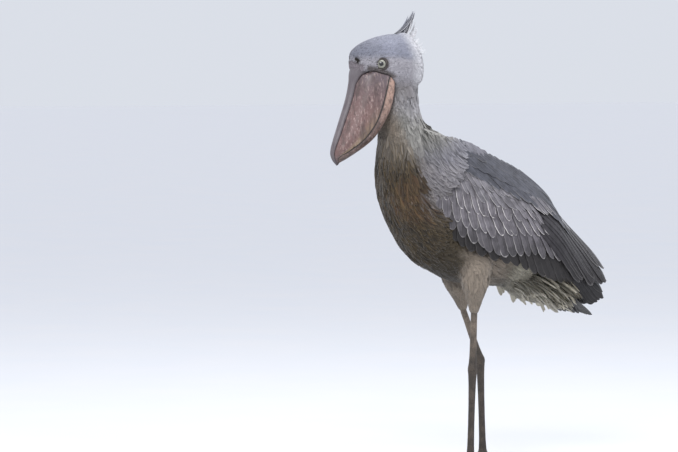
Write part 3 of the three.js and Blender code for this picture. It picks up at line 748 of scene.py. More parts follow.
def make_skin():
    """One skin for head, neck, trunk and thighs, as deep under the solids as the coat is thick."""
    made = mesh_of("skin", fill_skin)
    fuse(made, BODY_SKIN)
    mesh = made.data
    points = mesh_points(mesh)
    normals = np.array([v.normal for v in mesh.vertices])
    points -= normals * coat_depth(points)[:, None]
    brow = head_plane(points)
    points[:, 1] += BROW_STEP * ramp(-112, -138, brow[:, 1]) * ramp(1012, 988, brow[:, 2])
    mesh.vertices.foreach_set("co", (points * MM).ravel())
    mesh.update()
    unwrap(made)
    colours, _ = plumage(points, normals)
    paint(mesh, "Plumage", np.concatenate([colours, np.ones((len(colours), 1))], axis=1))
    finish_piece(made, downy_skin, "down", *FLESH)


def unwrap(made):
    """A map of the skin's own shape, which the feathers' patches are placed on."""
    bpy.context.view_layer.objects.active = made
    made.select_set(True)
    for layer in list(made.data.uv_layers):
        made.data.uv_layers.remove(layer)
    made.data.uv_layers.new(name="OFBake")
    bpy.ops.object.mode_set(mode="EDIT")
    bpy.ops.mesh.select_all(action="SELECT")
    bpy.ops.uv.smart_project(angle_limit=math.radians(66), island_margin=0.001)
    bpy.ops.object.mode_set(mode="OBJECT")
    made.select_set(False)


def paint(mesh, name, colours):
    """Stores a colour for each point."""
    layer = mesh.color_attributes.get(name) or mesh.color_attributes.new(name, "FLOAT_COLOR", "POINT")
    layer.data.foreach_set("color", colours.astype(np.float32).ravel())


@functools.cache
def skin_surface():
    """The skin as a search tree in millimetres, with its triangles' corners and their places on its map."""
    mesh = bpy.data.objects["skin"].data
    mesh.calc_loop_triangles()
    points = mesh_points(mesh)
    count = len(mesh.loop_triangles)
    corners = np.zeros(count * 3, int)
    mesh.loop_triangles.foreach_get("vertices", corners)
    loops = np.zeros(count * 3, int)
    mesh.loop_triangles.foreach_get("loops", loops)
    uv = np.zeros(len(mesh.loops) * 2)
    mesh.uv_layers["OFBake"].data.foreach_get("uv", uv)
    uv = uv.reshape(-1, 2)[loops].reshape(-1, 3, 2)
    corners = corners.reshape(-1, 3)
    normals = np.array([v.normal for v in mesh.vertices])
    tree = BVHTree.FromPolygons(points.tolist(), corners.tolist())
    return {"tree": tree, "points": points, "normals": normals, "corners": corners, "uv": uv}


def onto_skin(points):
    """The nearest points of the skin, their smooth normals and their places on its map."""
    skin = skin_surface()
    found = [skin["tree"].find_nearest(p) for p in points.tolist()]
    at = np.array([f[0] for f in found])
    face = np.array([f[2] for f in found])
    corners = skin["corners"][face]
    a, b, c = (skin["points"][corners[:, k]] for k in range(3))
    whole = np.linalg.norm(np.cross(b - a, c - a), axis=1)
    shares = np.stack(
        [
            np.linalg.norm(np.cross(b - at, c - at), axis=1),
            np.linalg.norm(np.cross(c - at, a - at), axis=1),
            np.linalg.norm(np.cross(a - at, b - at), axis=1),
        ],
        axis=1,
    ) / np.maximum(whole, 1e-9)[:, None]
    normals = unit(np.einsum("nk,nkd->nd", shares, skin["normals"][corners]))
    uv = np.einsum("nk,nkd->nd", shares, skin["uv"][face])
    return at, normals, uv


# Regions, lie and colours of the coat

SPINE = np.array([[0, (back[0] + low[0]) / 2 + SET_BACK, (back[1] + low[1]) / 2] for back, low, _ in TRUNK])
spine_line = through(SPINE)
BILL_ROOT = head_place((0, -150, 955))


def eye_middle(side):
    """The middle of the eye on a side, 1 for the left and -1 for the right, in the head's own plane."""
    return np.array(EYE["middle"]) * [side, 1, 1]


def eye_faces(side):
    """The way that the eye on a side looks, in the head's own plane."""
    return unit(np.array(EYE["faces"]) * [side, 1, 1])


def leg_line(points, leg):
    """How far each point is from a leg's feathered part, how far down it is, and the leg's direction."""
    hip, cuff, _ = (placed(p) for p in LEGS[leg])
    axis = unit(cuff - hip)
    down = (points - hip) @ axis
    off = np.linalg.norm(points - hip - np.clip(down, 0, 200)[:, None] * axis, axis=1)
    return off, down / np.linalg.norm(cuff - hip), axis


def from_line(points, line):
    """How far each point is from a line through a few spots."""
    nearest = np.full(len(points), np.inf)
    for start, end in zip(line[:-1], line[1:]):
        share = np.clip((points - start) @ (end - start) / np.sum((end - start) ** 2), 0, 1)
        nearest = np.minimum(nearest, np.linalg.norm(points - start - share[:, None] * (end - start), axis=1))
    return nearest


def trunk_share(points):
    """How far along the trunk each point lies, from 0 at the tail's root to 1 at the nape."""
    samples = np.linspace(0, 1, 80)
    line = spine_line(samples)
    gap = np.linalg.norm(points[:, None, 1:] - line[None, :, 1:], axis=2)
    weight = np.exp(-((gap - gap.min(axis=1, keepdims=True)) / 18) ** 2)
    return (weight * samples).sum(axis=1) / weight.sum(axis=1)


def leg_regions(points):
    """How much each point belongs to a feathered thigh, and to the haunch above it."""
    thigh, haunch = np.zeros(len(points)), np.zeros(len(points))
    for leg in LEGS:
        off, down, _ = leg_line(points, leg)
        thigh = np.maximum(thigh, ramp(60, 40, off) * ramp(0.18, 0.5, down))
        haunch = np.maximum(haunch, ramp(80, 48, off) * ramp(-0.35, 0.15, down))
    return thigh, haunch


def mantle_region(points, normals, trunk):
    """How much each point carries the mantle's feathers: where they grow, and where the body faces up."""
    y, z = points[:, 1], points[:, 2]
    side_on = ramp(-0.35, 0.05, normals[:, 2] + 0.4 * np.abs(normals[:, 0]) - 0.5 * ramp(-60, -160, y))
    inner = np.maximum(55 - np.abs(points[:, 0]), 0) * 1.9 * ramp(0.5, 0.8, normals[:, 2])
    rear = np.interp(z, MANTLE_END["height"], MANTLE_END["back"])
    mantle = ramp(-205, -180, y) * ramp(rear + 11, rear - 11, y - inner) * ramp(0.3, 0.4, trunk)
    return mantle, side_on * ramp(605, 650, z)


def face_regions(points, in_head):
    """How much each point is bare skin round the eye, painted shadow in the notch at the bill's root, or horn
    there.
    """
    bare, cleft = np.zeros(len(points)), np.zeros(len(points))
    for side in (1, -1):
        off = np.linalg.norm((in_head - eye_middle(side)) * [0.5, 1, 1], axis=1)
        strip = 0.85 * ramp(12, 3, from_line(in_head, BARE_STRIP * [side, 1, 1]))
        bare = np.maximum(bare, np.maximum(ramp(18, 15, off), strip) * (points[:, 0] * side > 8))
        # Painted shadow fills the notch at the bill's root on each side.
        cleft = np.maximum(cleft, ramp(8.5, 5.5, from_line(in_head, CLEFT_SHADE_LINE * [side, 1, 1])))
    high = points[:, 2] + 0.35 * np.abs(in_head[:, 0])
    cere = ramp(CERE_TOP + 1, CERE_TOP - 1, high) * ramp(-120, -126, in_head[:, 1])
    # Painted shade: a soft dark band along the top of the horn at the bill's root, under the feathers' edge.
    cleft = np.maximum(cleft, cere * ramp(CERE_TOP - 5, CERE_TOP - 3, high) * 0.4)
    return bare, cleft, cere


def regions(points, normals):
    """How much each point belongs to each region of the coat, and its place on the trunk and the head."""
    y, z = points[:, 1], points[:, 2]
    trunk = trunk_share(points)
    in_head = head_plane(points)
    head = ramp(900, 935, z) * ramp(20, -20, in_head[:, 1] - 40 + (935 - z) * 0.6)
    head = np.maximum(head, ramp(925, 955, z))
    thigh, haunch = leg_regions(points)
    front = ramp(0.0, 0.5, -normals[:, 1] * 0.9 - normals[:, 2] * 0.4)
    mantle, on_top = mantle_region(points, normals, trunk)
    bare, cleft, cere = face_regions(points, in_head)
    return {
        "trunk": trunk,
        "in_head": in_head,
        "head": head,
        "neck": ramp(0.62, 0.76, trunk + normals[:, 1] * 0.04) * (1 - head),
        "thigh": thigh,
        "haunch": haunch,
        "breast": ramp(0.36, 0.46, trunk) * front * (1 - head),
        "back": ramp(0.0, 0.5, normals[:, 2] + normals[:, 1] * 0.3) * (1 - thigh),
        "vent": ramp(25, 90, y) * ramp(510, 475, z + (y - 120) * 0.5),
        "mantle": mantle * (1 - head) * on_top,
        "bare": bare,
        "cleft": cleft,
        "cere": cere,
    }


def plumage(points, normals):
    """The coat's colour at each point, for skin and feathers alike, with painted shade and light in places,
    and the colour of the feathers' edges.
    """
    where = regions(points, normals)
    blotch = grain(points, 34, 1)
    speck = grain(points, 9, 2)
    nape = where["head"] * ramp(-15, 40, where["in_head"][:, 1] + 0.2 * (points[:, 2] - 1000))
    from_rust = np.linalg.norm(np.abs(points) * [1, -1, 1] - RUST_SPOT, axis=1)
    layers = [
        ("belly", np.ones(len(points))),
        ("mantle", where["back"]),
        ("breast", where["breast"] * 0.95),
        ("rust", where["breast"] * 0.7 * ramp(75, 30, from_rust)),
        ("shoulder", where["mantle"] * ramp(770, 730, points[:, 2]) * 0.8),
        ("neck", where["neck"]),
        ("throat", where["neck"] * ramp(0.22, 0.92, -normals[:, 1] + (850 - points[:, 2]) / 220)),
        ("vent", where["vent"]),
        ("thigh", where["haunch"]),
        # Partly a blend of real colours and partly painted light: the neck just under the head is lightened
        # towards the cheek's grey, against the shade that the head casts.
        ("cheek", where["neck"] * ramp(845, 915, points[:, 2]) * 0.7),
        ("cheek", where["head"] * ramp(898, 960, points[:, 2])),
        ("crown", where["head"] * ramp(985, 1005, points[:, 2])),
        ("nape", nape * ramp(905, 950, points[:, 2]) * 0.85),
    ]
    base = np.zeros((len(points), 3))
    for name, share in layers:
        base = mix(base, shade(name), share[:, None])
    uneven = 0.14 * blotch + (0.12 + 0.16 * where["neck"]) * speck
    base = base * (1 + uneven)[:, None]
    # Painted shade: the lower breast, where it faces forward, is darkened.
    keel_shade = where["breast"] * ramp(720, 620, points[:, 2]) * ramp(0.2, 0.8, -normals[:, 1])
    base = base * (1 - 0.45 * keel_shade)[:, None]
    # Painted shade under the brow, above and before the eye.
    brow = where["head"] * ramp(-60, -115, where["in_head"][:, 1]) * ramp(985, 1005, points[:, 2])
    base = base * (1 - 0.25 * brow)[:, None]
    # Painted shade: surfaces that face down, off the head, are darkened.
    base = base * (1 - 0.45 * ramp(-0.2, -0.8, normals[:, 2]) * (1 - where["head"]))[:, None]
    base = mix(base, shade("bare"), where["bare"][:, None])
    base = mix(base, shade("bill_ridge") * 2.1, where["cere"][:, None])
    # Painted shadow in the notch at the bill's root.
    base = mix(base, shade("shadow"), where["cleft"][:, None])
    edge = mix(base * 1.35, shade("breast_edge"), (where["breast"] * 0.8)[:, None])
    edge = mix(edge, shade("fringe") * 0.8, (where["mantle"] * ramp(790, 740, points[:, 2]) * 0.3)[:, None])
    return np.clip(base, 0, 1), np.clip(edge, 0, 1)


@functools.cache
def wing_cover():
    """Both wings' outer surface as a search tree, with each face's place along and down the wing."""
    along, down = np.meshgrid(np.linspace(-0.13, 0.42, 56), np.linspace(-0.06, 1, 54), indexing="ij")
    at, out, _, _ = wing_surface(along, down)
    points, faces, spots = [], [], []
    rows, columns = along.shape
    corner = (np.arange(rows - 1)[:, None] * columns + np.arange(columns - 1)).ravel()
    quads = np.stack([corner, corner + 1, corner + columns + 1, corner + columns], axis=1)
    for side in (1, -1):
        faces.append(quads + len(points) * rows * columns)
        points.append((at + out * MANTLE_LAYER).reshape(-1, 3) * [side, 1, 1])
        spots.append(np.stack([along.ravel()[corner], down.ravel()[corner]], axis=1))
    tree = BVHTree.FromPolygons(np.concatenate(points).tolist(), np.concatenate(faces).tolist())
    return tree, np.concatenate(spots)


def over_wing(points, normals):
    """How far a feather on the skin is raised to lie over the wing's shoulder, in millimetres."""
    tree, spots = wing_cover()
    raised = np.zeros(len(points))
    for i in np.where((points[:, 1] > -190) & (points[:, 1] < 80))[0]:
        _, _, face, far = tree.ray_cast(Vector(points[i]), Vector(normals[i]), WING_REACH)
        if face is not None:
            along, down = spots[face]
            raised[i] = far * ramp(-0.12, -0.06, along) * ramp(-0.05, 0.03, down) * ramp(0.68, 0.46, down)
    saddle = ramp(-215, -185, points[:, 1]) * ramp(-20, -70, points[:, 1]) * ramp(0.3, 0.7, normals[:, 2])
    return np.maximum(raised, SADDLE_LIFT * saddle * ramp(690, 730, points[:, 2]))


def lie(points, normals):
    """The way that the feathers lie: back from the bill, down neck and breast, and back along the body."""
    where = regions(points, normals)
    step = 0.02
    ahead = spine_line(where["trunk"] - step) - spine_line(where["trunk"] + step)
    hang = where["breast"] * ramp(560, 700, points[:, 2]) * 0.6
    flow = unit(mix(unit(ahead), np.array([0, 0.1, -1.0]), hang[:, None]))
    from_bill = unit(points - BILL_ROOT)
    nape = ramp(-60, 40, where["in_head"][:, 1])[:, None]
    from_bill = unit(mix(from_bill, np.array([0, 0.25, -1.0]), nape * 0.85))
    flow = unit(mix(flow, from_bill, where["head"][:, None]))
    for leg in LEGS:
        off, down, axis = leg_line(points, leg)
        share = ramp(62, 36, off) * ramp(0.0, 0.4, down)
        flow = unit(mix(flow, axis, share[:, None]))
    flow = flow - normals * dot(flow, normals)
    return unit(flow), where


# Feathers


class Feathers:
    """Gathers closed vanes, each a stack of rings, into one mesh."""

    def __init__(self):
        self.points, self.faces, self.sharp = [], [], []
        self.vane, self.bake, self.base, self.edge = [], [], [], []
        self.count = 0

    def add(self, points, along, profile, base, edge, patch):
        """points is (feathers, rings, profile, 3). base is each feather's colour and how much its tip darkens;
        edge is its edge's colour and strength; patch is its place on the map and its two sizes there."""
        many, rings, around, _ = points.shape
        ring = np.arange(rings - 1)[:, None] * around
        k = np.arange(around)[None, :]
        after = (k + 1) % around
        quads = np.stack([ring + k, ring + after, ring + around + after, ring + around + k], axis=-1)
        quads = quads.reshape(-1, 4)
        first = points[0].reshape(-1, 3)
        a, b, c, d = (first[quads[:, i]] for i in range(4))
        middle = first.mean(axis=0)
        volume = np.sum(np.cross(c - a, d - b) * (a - middle))
        caps = [np.arange(around)[::-1], np.arange(around) + (rings - 1) * around]
        if volume < 0:
            quads = quads[:, ::-1]
            caps = [c[::-1] for c in caps]
        offsets = self.count + np.arange(many)[:, None] * rings * around
        self.faces.append((quads.ravel()[None, :] + offsets, 4))
        for cap in caps:
            self.faces.append((cap[None, :] + offsets, around))
        across = np.broadcast_to(profile[:, 0], (many, rings, around))
        up_vane = np.broadcast_to(np.asarray(along)[..., None], (many, rings, around))
        self.points.append(points.reshape(-1, 3))
        self.sharp.append((np.abs(across) == 1).ravel() * (1 + (across > 0).ravel()))
        self.vane.append(np.stack([across / 2 + 0.5, up_vane], axis=-1).reshape(-1, 2))
        middle_uv, size = patch[:, :2], patch[:, 2:]
        spot = np.stack([across / 2, up_vane - 0.5], axis=-1) * size[:, None, None, :]
        self.bake.append((middle_uv[:, None, None, :] + spot).reshape(-1, 2))
        self.base.append(np.repeat(base, rings * around, axis=0))
        self.edge.append(np.repeat(edge, rings * around, axis=0))
        self.count += many * rings * around

    def mesh(self, name):
        """The mesh of all that was added, with its maps and colours, and with sharp edges along the vanes."""
        points = np.concatenate(self.points) * MM
        loops = np.concatenate([f.ravel() for f, _ in self.faces])
        totals = np.concatenate([np.full(f.size // n, n) for f, n in self.faces])
        starts = np.concatenate([[0], np.cumsum(totals)[:-1]])
        mesh = bpy.data.meshes.new(name)
        mesh.vertices.add(len(points))
        mesh.vertices.foreach_set("co", points.ravel())
        mesh.loops.add(len(loops))
        mesh.loops.foreach_set("vertex_index", loops)
        mesh.polygons.add(len(totals))
        mesh.polygons.foreach_set("loop_start", starts)
        mesh.polygons.foreach_set("loop_total", totals)
        mesh.update(calc_edges=True)
        mesh.polygons.foreach_set("use_smooth", np.ones(len(totals), bool))
        for layer, values in (("OFBake", self.bake), ("Vane", self.vane)):
            uv = mesh.uv_layers.new(name=layer)
            uv.data.foreach_set("uv", np.concatenate(values)[loops].ravel())
        paint(mesh, "Plumage", np.concatenate(self.base))
        paint(mesh, "Fringe", np.concatenate(self.edge))
        ends = np.zeros(len(mesh.edges) * 2, int)
        mesh.edges.foreach_get("vertices", ends)
        rim = np.concatenate(self.sharp)[ends.reshape(-1, 2)]
        sharp = (rim[:, 0] > 0) & (rim[:, 0] == rim[:, 1])
        layer = mesh.attributes.new("sharp_edge", "BOOLEAN", "EDGE")
        layer.data.foreach_set("value", sharp)
        mesh.validate()
        return mesh


def with_share(colours, share):
    """Colours with a fourth number, the same for all or one for each."""
    return np.concatenate([np.clip(colours, 0, 1), np.broadcast_to(share, (len(colours), 1))], axis=1)


def section(centre, side, up, half, thick, profile, camber=0.0):
    """Rings of a profile along each feather's middle line. Camber lowers the edges, in millimetres."""
    a, h = profile[:, 0], profile[:, 1]
    offset = half[..., None, None] * a[:, None] * side[:, :, None, :]
    rise = (thick[..., None] * h - np.asarray(camber)[..., None] * a**2)[..., None] * up[:, :, None, :]
    return centre[:, :, None, :] + offset + rise


def lay(roots, lengths, widths, lifts, kind, random, raised=None):
    """Small feathers that follow the skin from their roots: rings of points for Feathers.add."""
    at, normal, uv = onto_skin(roots)
    centres, normals = [at], [normal]
    if raised is not None:
        centres = [at + normal * np.maximum(raised(at, normal) - ROOT_DROP, 0)[:, None]]
    swing = random.normal(0, kind["sway"], len(roots))
    for step in np.diff(kind["rings"]):
        flow, _ = lie(at, normal)
        flow = unit(flow + np.cross(normal, flow) * swing[:, None])
        at, normal, _ = onto_skin(at + flow * (lengths * step)[:, None])
        centres.append(at if raised is None else at + normal * raised(at, normal)[:, None])
        normals.append(normal)
    centre = np.stack(centres, axis=1)
    up = np.stack(normals, axis=1)
    t = np.asarray(kind["rings"])
    rise = -0.8 * (1 - ramp(0, 0.3, t)) + lifts[:, None] * t**1.2
    centre = centre + up * rise[..., None]
    ahead = np.gradient(centre, axis=1)
    side = unit(np.cross(ahead, up))
    turn = random.normal(0, kind["roll"], (len(roots), 1, 1))
    side = unit(side + up * turn)
    up = unit(np.cross(side, ahead))
    half = widths[:, None] / 2 * np.asarray(kind["outline"])
    thick = np.maximum(half * 0.16, 0.15)
    return section(centre, side, up, half, thick, BODY_PROFILE), t, uv


@functools.cache
def root_spots():
    """Evenly spread spots on the skin where feathers can grow: its points and the middles of its faces."""
    skin = skin_surface()
    random = np.random.default_rng(SPOT_SEED)
    mesh = bpy.data.objects["skin"].data
    middles = np.zeros(len(mesh.polygons) * 3)
    mesh.polygons.foreach_get("center", middles)
    turned = np.zeros(len(mesh.polygons) * 3)
    mesh.polygons.foreach_get("normal", turned)
    points = np.concatenate([skin["points"], middles.reshape(-1, 3) / MM])
    normals = np.concatenate([skin["normals"], turned.reshape(-1, 3)])
    points = points + random.normal(0, SPOT_JITTER, points.shape)
    where = regions(points, normals)
    hidden = covered(points, normals)
    return {"points": points, "normals": normals, "where": where, "hidden": hidden}


def covered(points, normals):
    """Which spots lie deep under the wings or inside the bill, where no feather shows."""
    hidden = np.zeros(len(points), bool)
    for node in ("wing_left", "wing_right", "upper_bill", "lower_bill", "tail"):
        mesh = frame["nodes"][node].data
        tree = BVHTree.FromPolygons([v.co / MM for v in mesh.vertices], [p.vertices for p in mesh.polygons])
        low, high = (np.array(corner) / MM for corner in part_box(node))
        near = np.where(np.all((points > low - 10) & (points < high + 10), axis=1) & ~hidden)[0]
        for i in near:
            hit = tree.ray_cast(Vector(points[i]), Vector(normals[i]), WING_REACH)
            hidden[i] = hit[0] is not None
    return hidden


def choose(share, spacing, random, hidden_too):
    """Spots of one region of the coat, thinned to a spacing in millimetres."""
    spots = root_spots()
    chance = (SPOT_SPACING / spacing) ** 2 * share
    chosen = random.random(len(spots["points"])) < chance
    if not hidden_too:
        chosen &= ~spots["hidden"]
    return np.where(chosen)[0]


def pick(values, index):
    return {k: v[index] for k, v in values.items()}


def short_of_wing(roots, normals, lengths):
    """Lengths cut so that the feathers ahead of a wing end where its front edge starts."""
    flow, _ = lie(roots, normals)
    room = (WING_FRONT["y"] - roots[:, 1]) / np.maximum(flow[:, 1], 0.15)
    near = (np.abs(roots[:, 0]) > WING_FRONT["aside"]) & (roots[:, 1] < 0)
    near &= (roots[:, 2] > WING_FRONT["low"]) & (roots[:, 2] < WING_FRONT["high"])
    return np.where(near, np.minimum(lengths, np.maximum(room, 12)), lengths)


def coat(name, share, sizes, raised=None, hidden_too=False):
    """One part of the coat. share(where) says where it grows, sizes(where) gives its feathers' lengths,
    widths and lifts, and raised(points, normals) how far they are lifted off the skin."""
    kind = COATS[name]
    random = np.random.default_rng(kind["seed"])
    spots = root_spots()
    index = choose(share(spots["where"]), kind["spacing"], random, hidden_too)
    roots, normals = spots["points"][index], spots["normals"][index]
    lengths, widths, lifts = sizes(pick(spots["where"], index))
    vary = random.uniform(0.82, 1.18, (3, len(index)))
    if raised is None:
        lengths = short_of_wing(roots, normals, lengths)
    points, t, uv = lay(roots, lengths * vary[0], widths * vary[1], lifts * vary[2], kind, random, raised)
    base, edge = plumage(roots, normals)
    shades = np.maximum(random.normal(1, kind["tone"], (len(index), 1)), 0.2)
    strength = np.clip(kind["fringe"] * random.uniform(0.4, 1.3, (len(index), 1)), 0, 1)
    base, edge = with_share(base * shades, 0), with_share(edge * shades**0.5, strength)
    made = feather_object(name, points, t, BODY_PROFILE, base, edge, skin_patch(uv, "feather"))
    return finish_piece(made, contour_feathers, kind["slot"])


def skin_patch(uv, kind):
    """Each small feather's patch of the map, at its root's place on the skin's own map."""
    return np.concatenate([uv, np.full((len(uv), 2), PATCH[kind])], axis=1)


def feather_object(name, points, t, profile, base, edge, patch):
    """An object of one kind of feather, all with rings at the same places t along them."""
    feathers = Feathers()
    feathers.add(points, np.broadcast_to(t, (len(points), len(t))), profile, base, edge, patch)
    return new_object(name, feathers.mesh(name))


def make_head_coat():
    """Short feathers of the face and crown, which get longer and looser on the nape."""

    def share(where):
        return where["head"] * (1 - np.maximum.reduce([where["bare"], where["cleft"], where["cere"]]))

    def sizes(where):
        nape = ramp(15, 50, where["in_head"][:, 1])
        face = ramp(-70, -125, where["in_head"][:, 1])
        lengths = mix(mix(length("head_feather"), 5, face), length("nape_feather"), nape)
        widths = mix(mix(3.6, 2.6, face), 4.8, nape)
        return lengths, widths, mix(0.9, 4.0, nape)

    coat("coat_head", share, sizes)


def make_neck_coat():
    """Feathers of the neck, which widen into those of the back."""

    def share(where):
        return ramp(0.35, 0.5, where["neck"]) * (1 - where["head"])

    def sizes(where):
        low = ramp(0.82, 0.62, where["trunk"])
        lengths = mix(length("neck_feather"), length("mantle_feather"), low)
        return lengths, mix(4.6, 9.0, low), mix(1.6, 2.6, low)

    coat("coat_neck", share, sizes)


def make_breast_coat():
    """Long plumes that hang down the breast."""

    def share(where):
        return ramp(0.3, 0.6, where["breast"]) * (1 - ramp(0.5, 0.65, where["neck"]))

    def sizes(where):
        lengths = length("breast_plume") * mix(1, 0.55, ramp(0.62, 0.75, where["trunk"]))
        return lengths, 3.0 + lengths * 0.12, lengths * 0.09

    coat("coat_breast", share, sizes)


def make_mantle_coat():
    """Scaly feathers of the upper back, which lie over the shoulders of the wings."""

    def sizes(where):
        back = where["back"]
        lengths = mix(36, length("mantle_feather"), back)
        return lengths, mix(12.5, 14, back), mix(4.5, 2.4, back)

    coat("coat_mantle", lambda where: where["mantle"], sizes, over_wing, hidden_too=True)


def make_body_coat():
    """Feathers of belly, flanks and back, wherever no other part of the coat grows."""

    def share(where):
        neck, breast = ramp(0.35, 0.5, where["neck"]), ramp(0.3, 0.6, where["breast"])
        return 1 - np.maximum.reduce([where["head"], neck, breast, where["thigh"], where["mantle"]])

    def sizes(where):
        back = where["back"]
        lengths = mix(length("belly_feather"), length("mantle_feather"), back)
        lengths = mix(lengths, length("vent_plume"), where["vent"])
        return lengths, mix(7.0, 13.0, back), mix(3.6, 2.4, back) + where["vent"] * 3

    coat("coat_body", share, sizes)


def make_thigh_coat():
    """Soft feathers of the thighs, down to the bare leg."""

    def sizes(where):
        lengths = np.full(len(where["trunk"]), length("thigh_feather"))
        return lengths, lengths * 0.24, lengths * 0.09

    coat("coat_thighs", lambda where: where["thigh"], sizes)


# Wings and tail

def vane_outline(t, reach, width, blunt):
    """A vane's width along it: a narrow base, full sides and a tip, which is round where blunt is 1."""
    base = mix(0.28, 1, ramp(0, 0.3, t))
    tip = np.clip(width / reach * mix(1.6, 0.62, blunt), 0.05, 0.7)
    near_end = np.clip((t - 1 + tip) / tip, 0, 1)
    return base * np.sqrt(np.clip(1 - near_end ** mix(1.5, 2.3, blunt), 0.0004, 1))


def vane_rings(count):
    """Places of a vane's rings, closer towards the tip."""
    return 1 - (1 - np.linspace(0, 1, count)) ** 1.7


def vane_thickness(t):
    """A vane's thickness along it, thinner towards the tip."""
    return VANE_THICK * np.minimum(1, (1 - t) * 6 + 0.25)


def wing_vanes(row, side, random):
    """The points of one row's feathers on a wing: (feathers, rings, profile, 3)."""
    count = row["count"]
    share = np.arange(count) / (count - 1)
    wobble = random.uniform(-0.008, 0.008, count)
    root = through(row["root"])(share) + wobble[:, None] * [1, 0]
    tip = through(row["tip"])(share) + wobble[:, None] * [1, 0]
    tip = root + (tip - root) * random.uniform(0.93, 1.04, (count, 1)) ** (row["layer"] > -10)
    t = vane_rings(20)
    reach = np.linalg.norm(wing_point(*tip.T) - wing_point(*root.T), axis=1)
    width = row["width"] * random.uniform(0.92, 1.06, count)
    half = width[:, None] / 2 * vane_outline(t, reach[:, None], width[:, None], row["blunt"])
    a, h = VANE_PROFILE[:, 0], VANE_PROFILE[:, 1]
    rag = 1 + 0.05 * np.sin(t[None, :] * 40 + random.uniform(0, 6, (count, 1))) * ramp(0.35, 0.8, t)
    sideways = (half * rag)[:, :, None] * a
    spot = root[:, None, :] + (tip - root)[:, None, :] * t[:, None]
    _, out, run, fall = wing_surface(spot[..., 0], spot[..., 1])
    toward = (tip - root)[:, None, :]
    ahead = unit(run * toward[..., :1] + fall * toward[..., 1:])
    across = np.cross(ahead, out)
    along = spot[..., :1] + sideways * (dot(across, run) / dot(run, run))
    down = spot[..., 1:] + sideways * (dot(across, fall) / dot(fall, fall))
    at, out, _, _ = wing_surface(along, down)
    layer = row["layer"] + np.arange(count) * row["rise"]
    dive = np.clip(1 - t / VANE_DIVE, 0, 1)
    sunk = np.minimum(layer, -WING_CORE["under"] - WING_CORE["root"])
    level = mix(layer[:, None], sunk[:, None], dive)
    curl = random.normal(0, 0.5, (count, 1)) * t**2
    thick = vane_thickness(t)
    height = (level + curl)[:, :, None] + thick[:, None] * h + a * row["tilt"] / 2 - 0.9 * a**2
    return (at + out * height[..., None]) * [side, 1, 1], t


def cell_patches(order, count):
    """A patch of the map for each large feather, side by side in the order of their roots."""
    columns = math.ceil(math.sqrt(count))
    column, line = order % columns, order // columns
    size = 1 / columns
    middle = np.stack([(column + 0.5) * size, (line + 0.5) * size], axis=1)
    return np.concatenate([middle, np.full((len(order), 2), size * 0.92)], axis=1)


def make_wing(side):
    """The feathers of one folded wing, row by row: side is 1 for the left and -1 for the right."""
    name = "wing_left" if side > 0 else "wing_right"
    random = np.random.default_rng(SEEDS[name])
    feathers = Feathers()
    total = sum(row["count"] for row in WING_ROWS.values())
    first = 0
    for row in WING_ROWS.values():
        points, t = wing_vanes(row, side, random)
        count = row["count"]
        tone = random.normal(1, 0.07, (count, 1))
        base = with_share(shade(row["colour"]) * tone, row["dark"])
        strength = np.clip(row["pale"] * random.uniform(0.15, 1.3, (count, 1)), 0, 1)
        edge = with_share(np.broadcast_to(shade("fringe"), (count, 3)), strength)
        patch = cell_patches(first + np.arange(count), total)
        feathers.add(points, np.broadcast_to(t, (count, len(t))), VANE_PROFILE, base, edge, patch)
        first += count
    made = new_object("feathers_" + name, feathers.mesh(name))
    finish_piece(made, vane_feathers, "flight_feathers", name)


def fan_vanes(root, lengths, headings, levels, width, drop, sag, profile, blunt, random):
    """Feathers that fan out in one slanting plane, dropped below the horizontal, each on its own level."""
    t = vane_rings(20 if len(profile) > 3 else 9)
    drop = np.radians(np.broadcast_to(drop, len(root)))
    back = np.stack([0 * drop, np.cos(drop), -np.sin(drop)], axis=1)
    out = np.stack([0 * drop, np.sin(drop), np.cos(drop)], axis=1)[:, None, :]
    across = np.array([1.0, 0, 0])
    heading = np.radians(headings)[:, None]
    ahead = back * np.cos(heading) + across * np.sin(heading)
    side = across * np.cos(heading) - back * np.sin(heading)
    centre = root[:, None, :] + ahead[:, None, :] * (lengths[:, None] * t)[..., None]
    centre = centre + out * (levels[:, None] - np.reshape(sag, (-1, 1)) * t**2)[..., None]
    vary = random.uniform(0.94, 1.05, (len(root), 1))
    half = width / 2 * vane_outline(t, lengths[:, None], width, blunt) * vary
    thick = np.broadcast_to(vane_thickness(t), half.shape)
    side = np.broadcast_to(side[:, None, :], centre.shape)
    up = np.broadcast_to(out, centre.shape)
    return section(centre, side, up, half, thick, profile, camber=np.full(half.shape, 1.2)), t


def make_tail():
    """The tail's fan, each feather under the one nearer the middle."""
    random = np.random.default_rng(SEEDS["tail"])
    count = TAIL["count"]
    place = np.arange(count) - (count - 1) / 2
    share = 2 * place / (count - 1)
    level = -1.2 * (np.abs(place) * 2 + (place > 0))
    root = placed(TAIL["root"]) + nudge(share * TAIL["base"])
    lengths = TAIL["length"] * (1 - TAIL["shorter"] * np.abs(share) + random.uniform(0, 0.03, count))
    points, t = fan_vanes(
        root, lengths, share * TAIL["spread"], level, TAIL["width"], TAIL["drop"], TAIL["sag"],
        VANE_PROFILE, 0.7, random,
    )
    base = with_share(shade("tail") * random.normal(1, 0.06, (count, 1)), 0.2)
    edge = with_share(np.broadcast_to(shade("fringe"), (count, 3)), 0.06)
    patch = cell_patches(np.arange(count), count)
    made = feather_object("feathers_tail", points, t, VANE_PROFILE, base, edge, patch)
    finish_piece(made, vane_feathers, "flight_feathers", "tail")


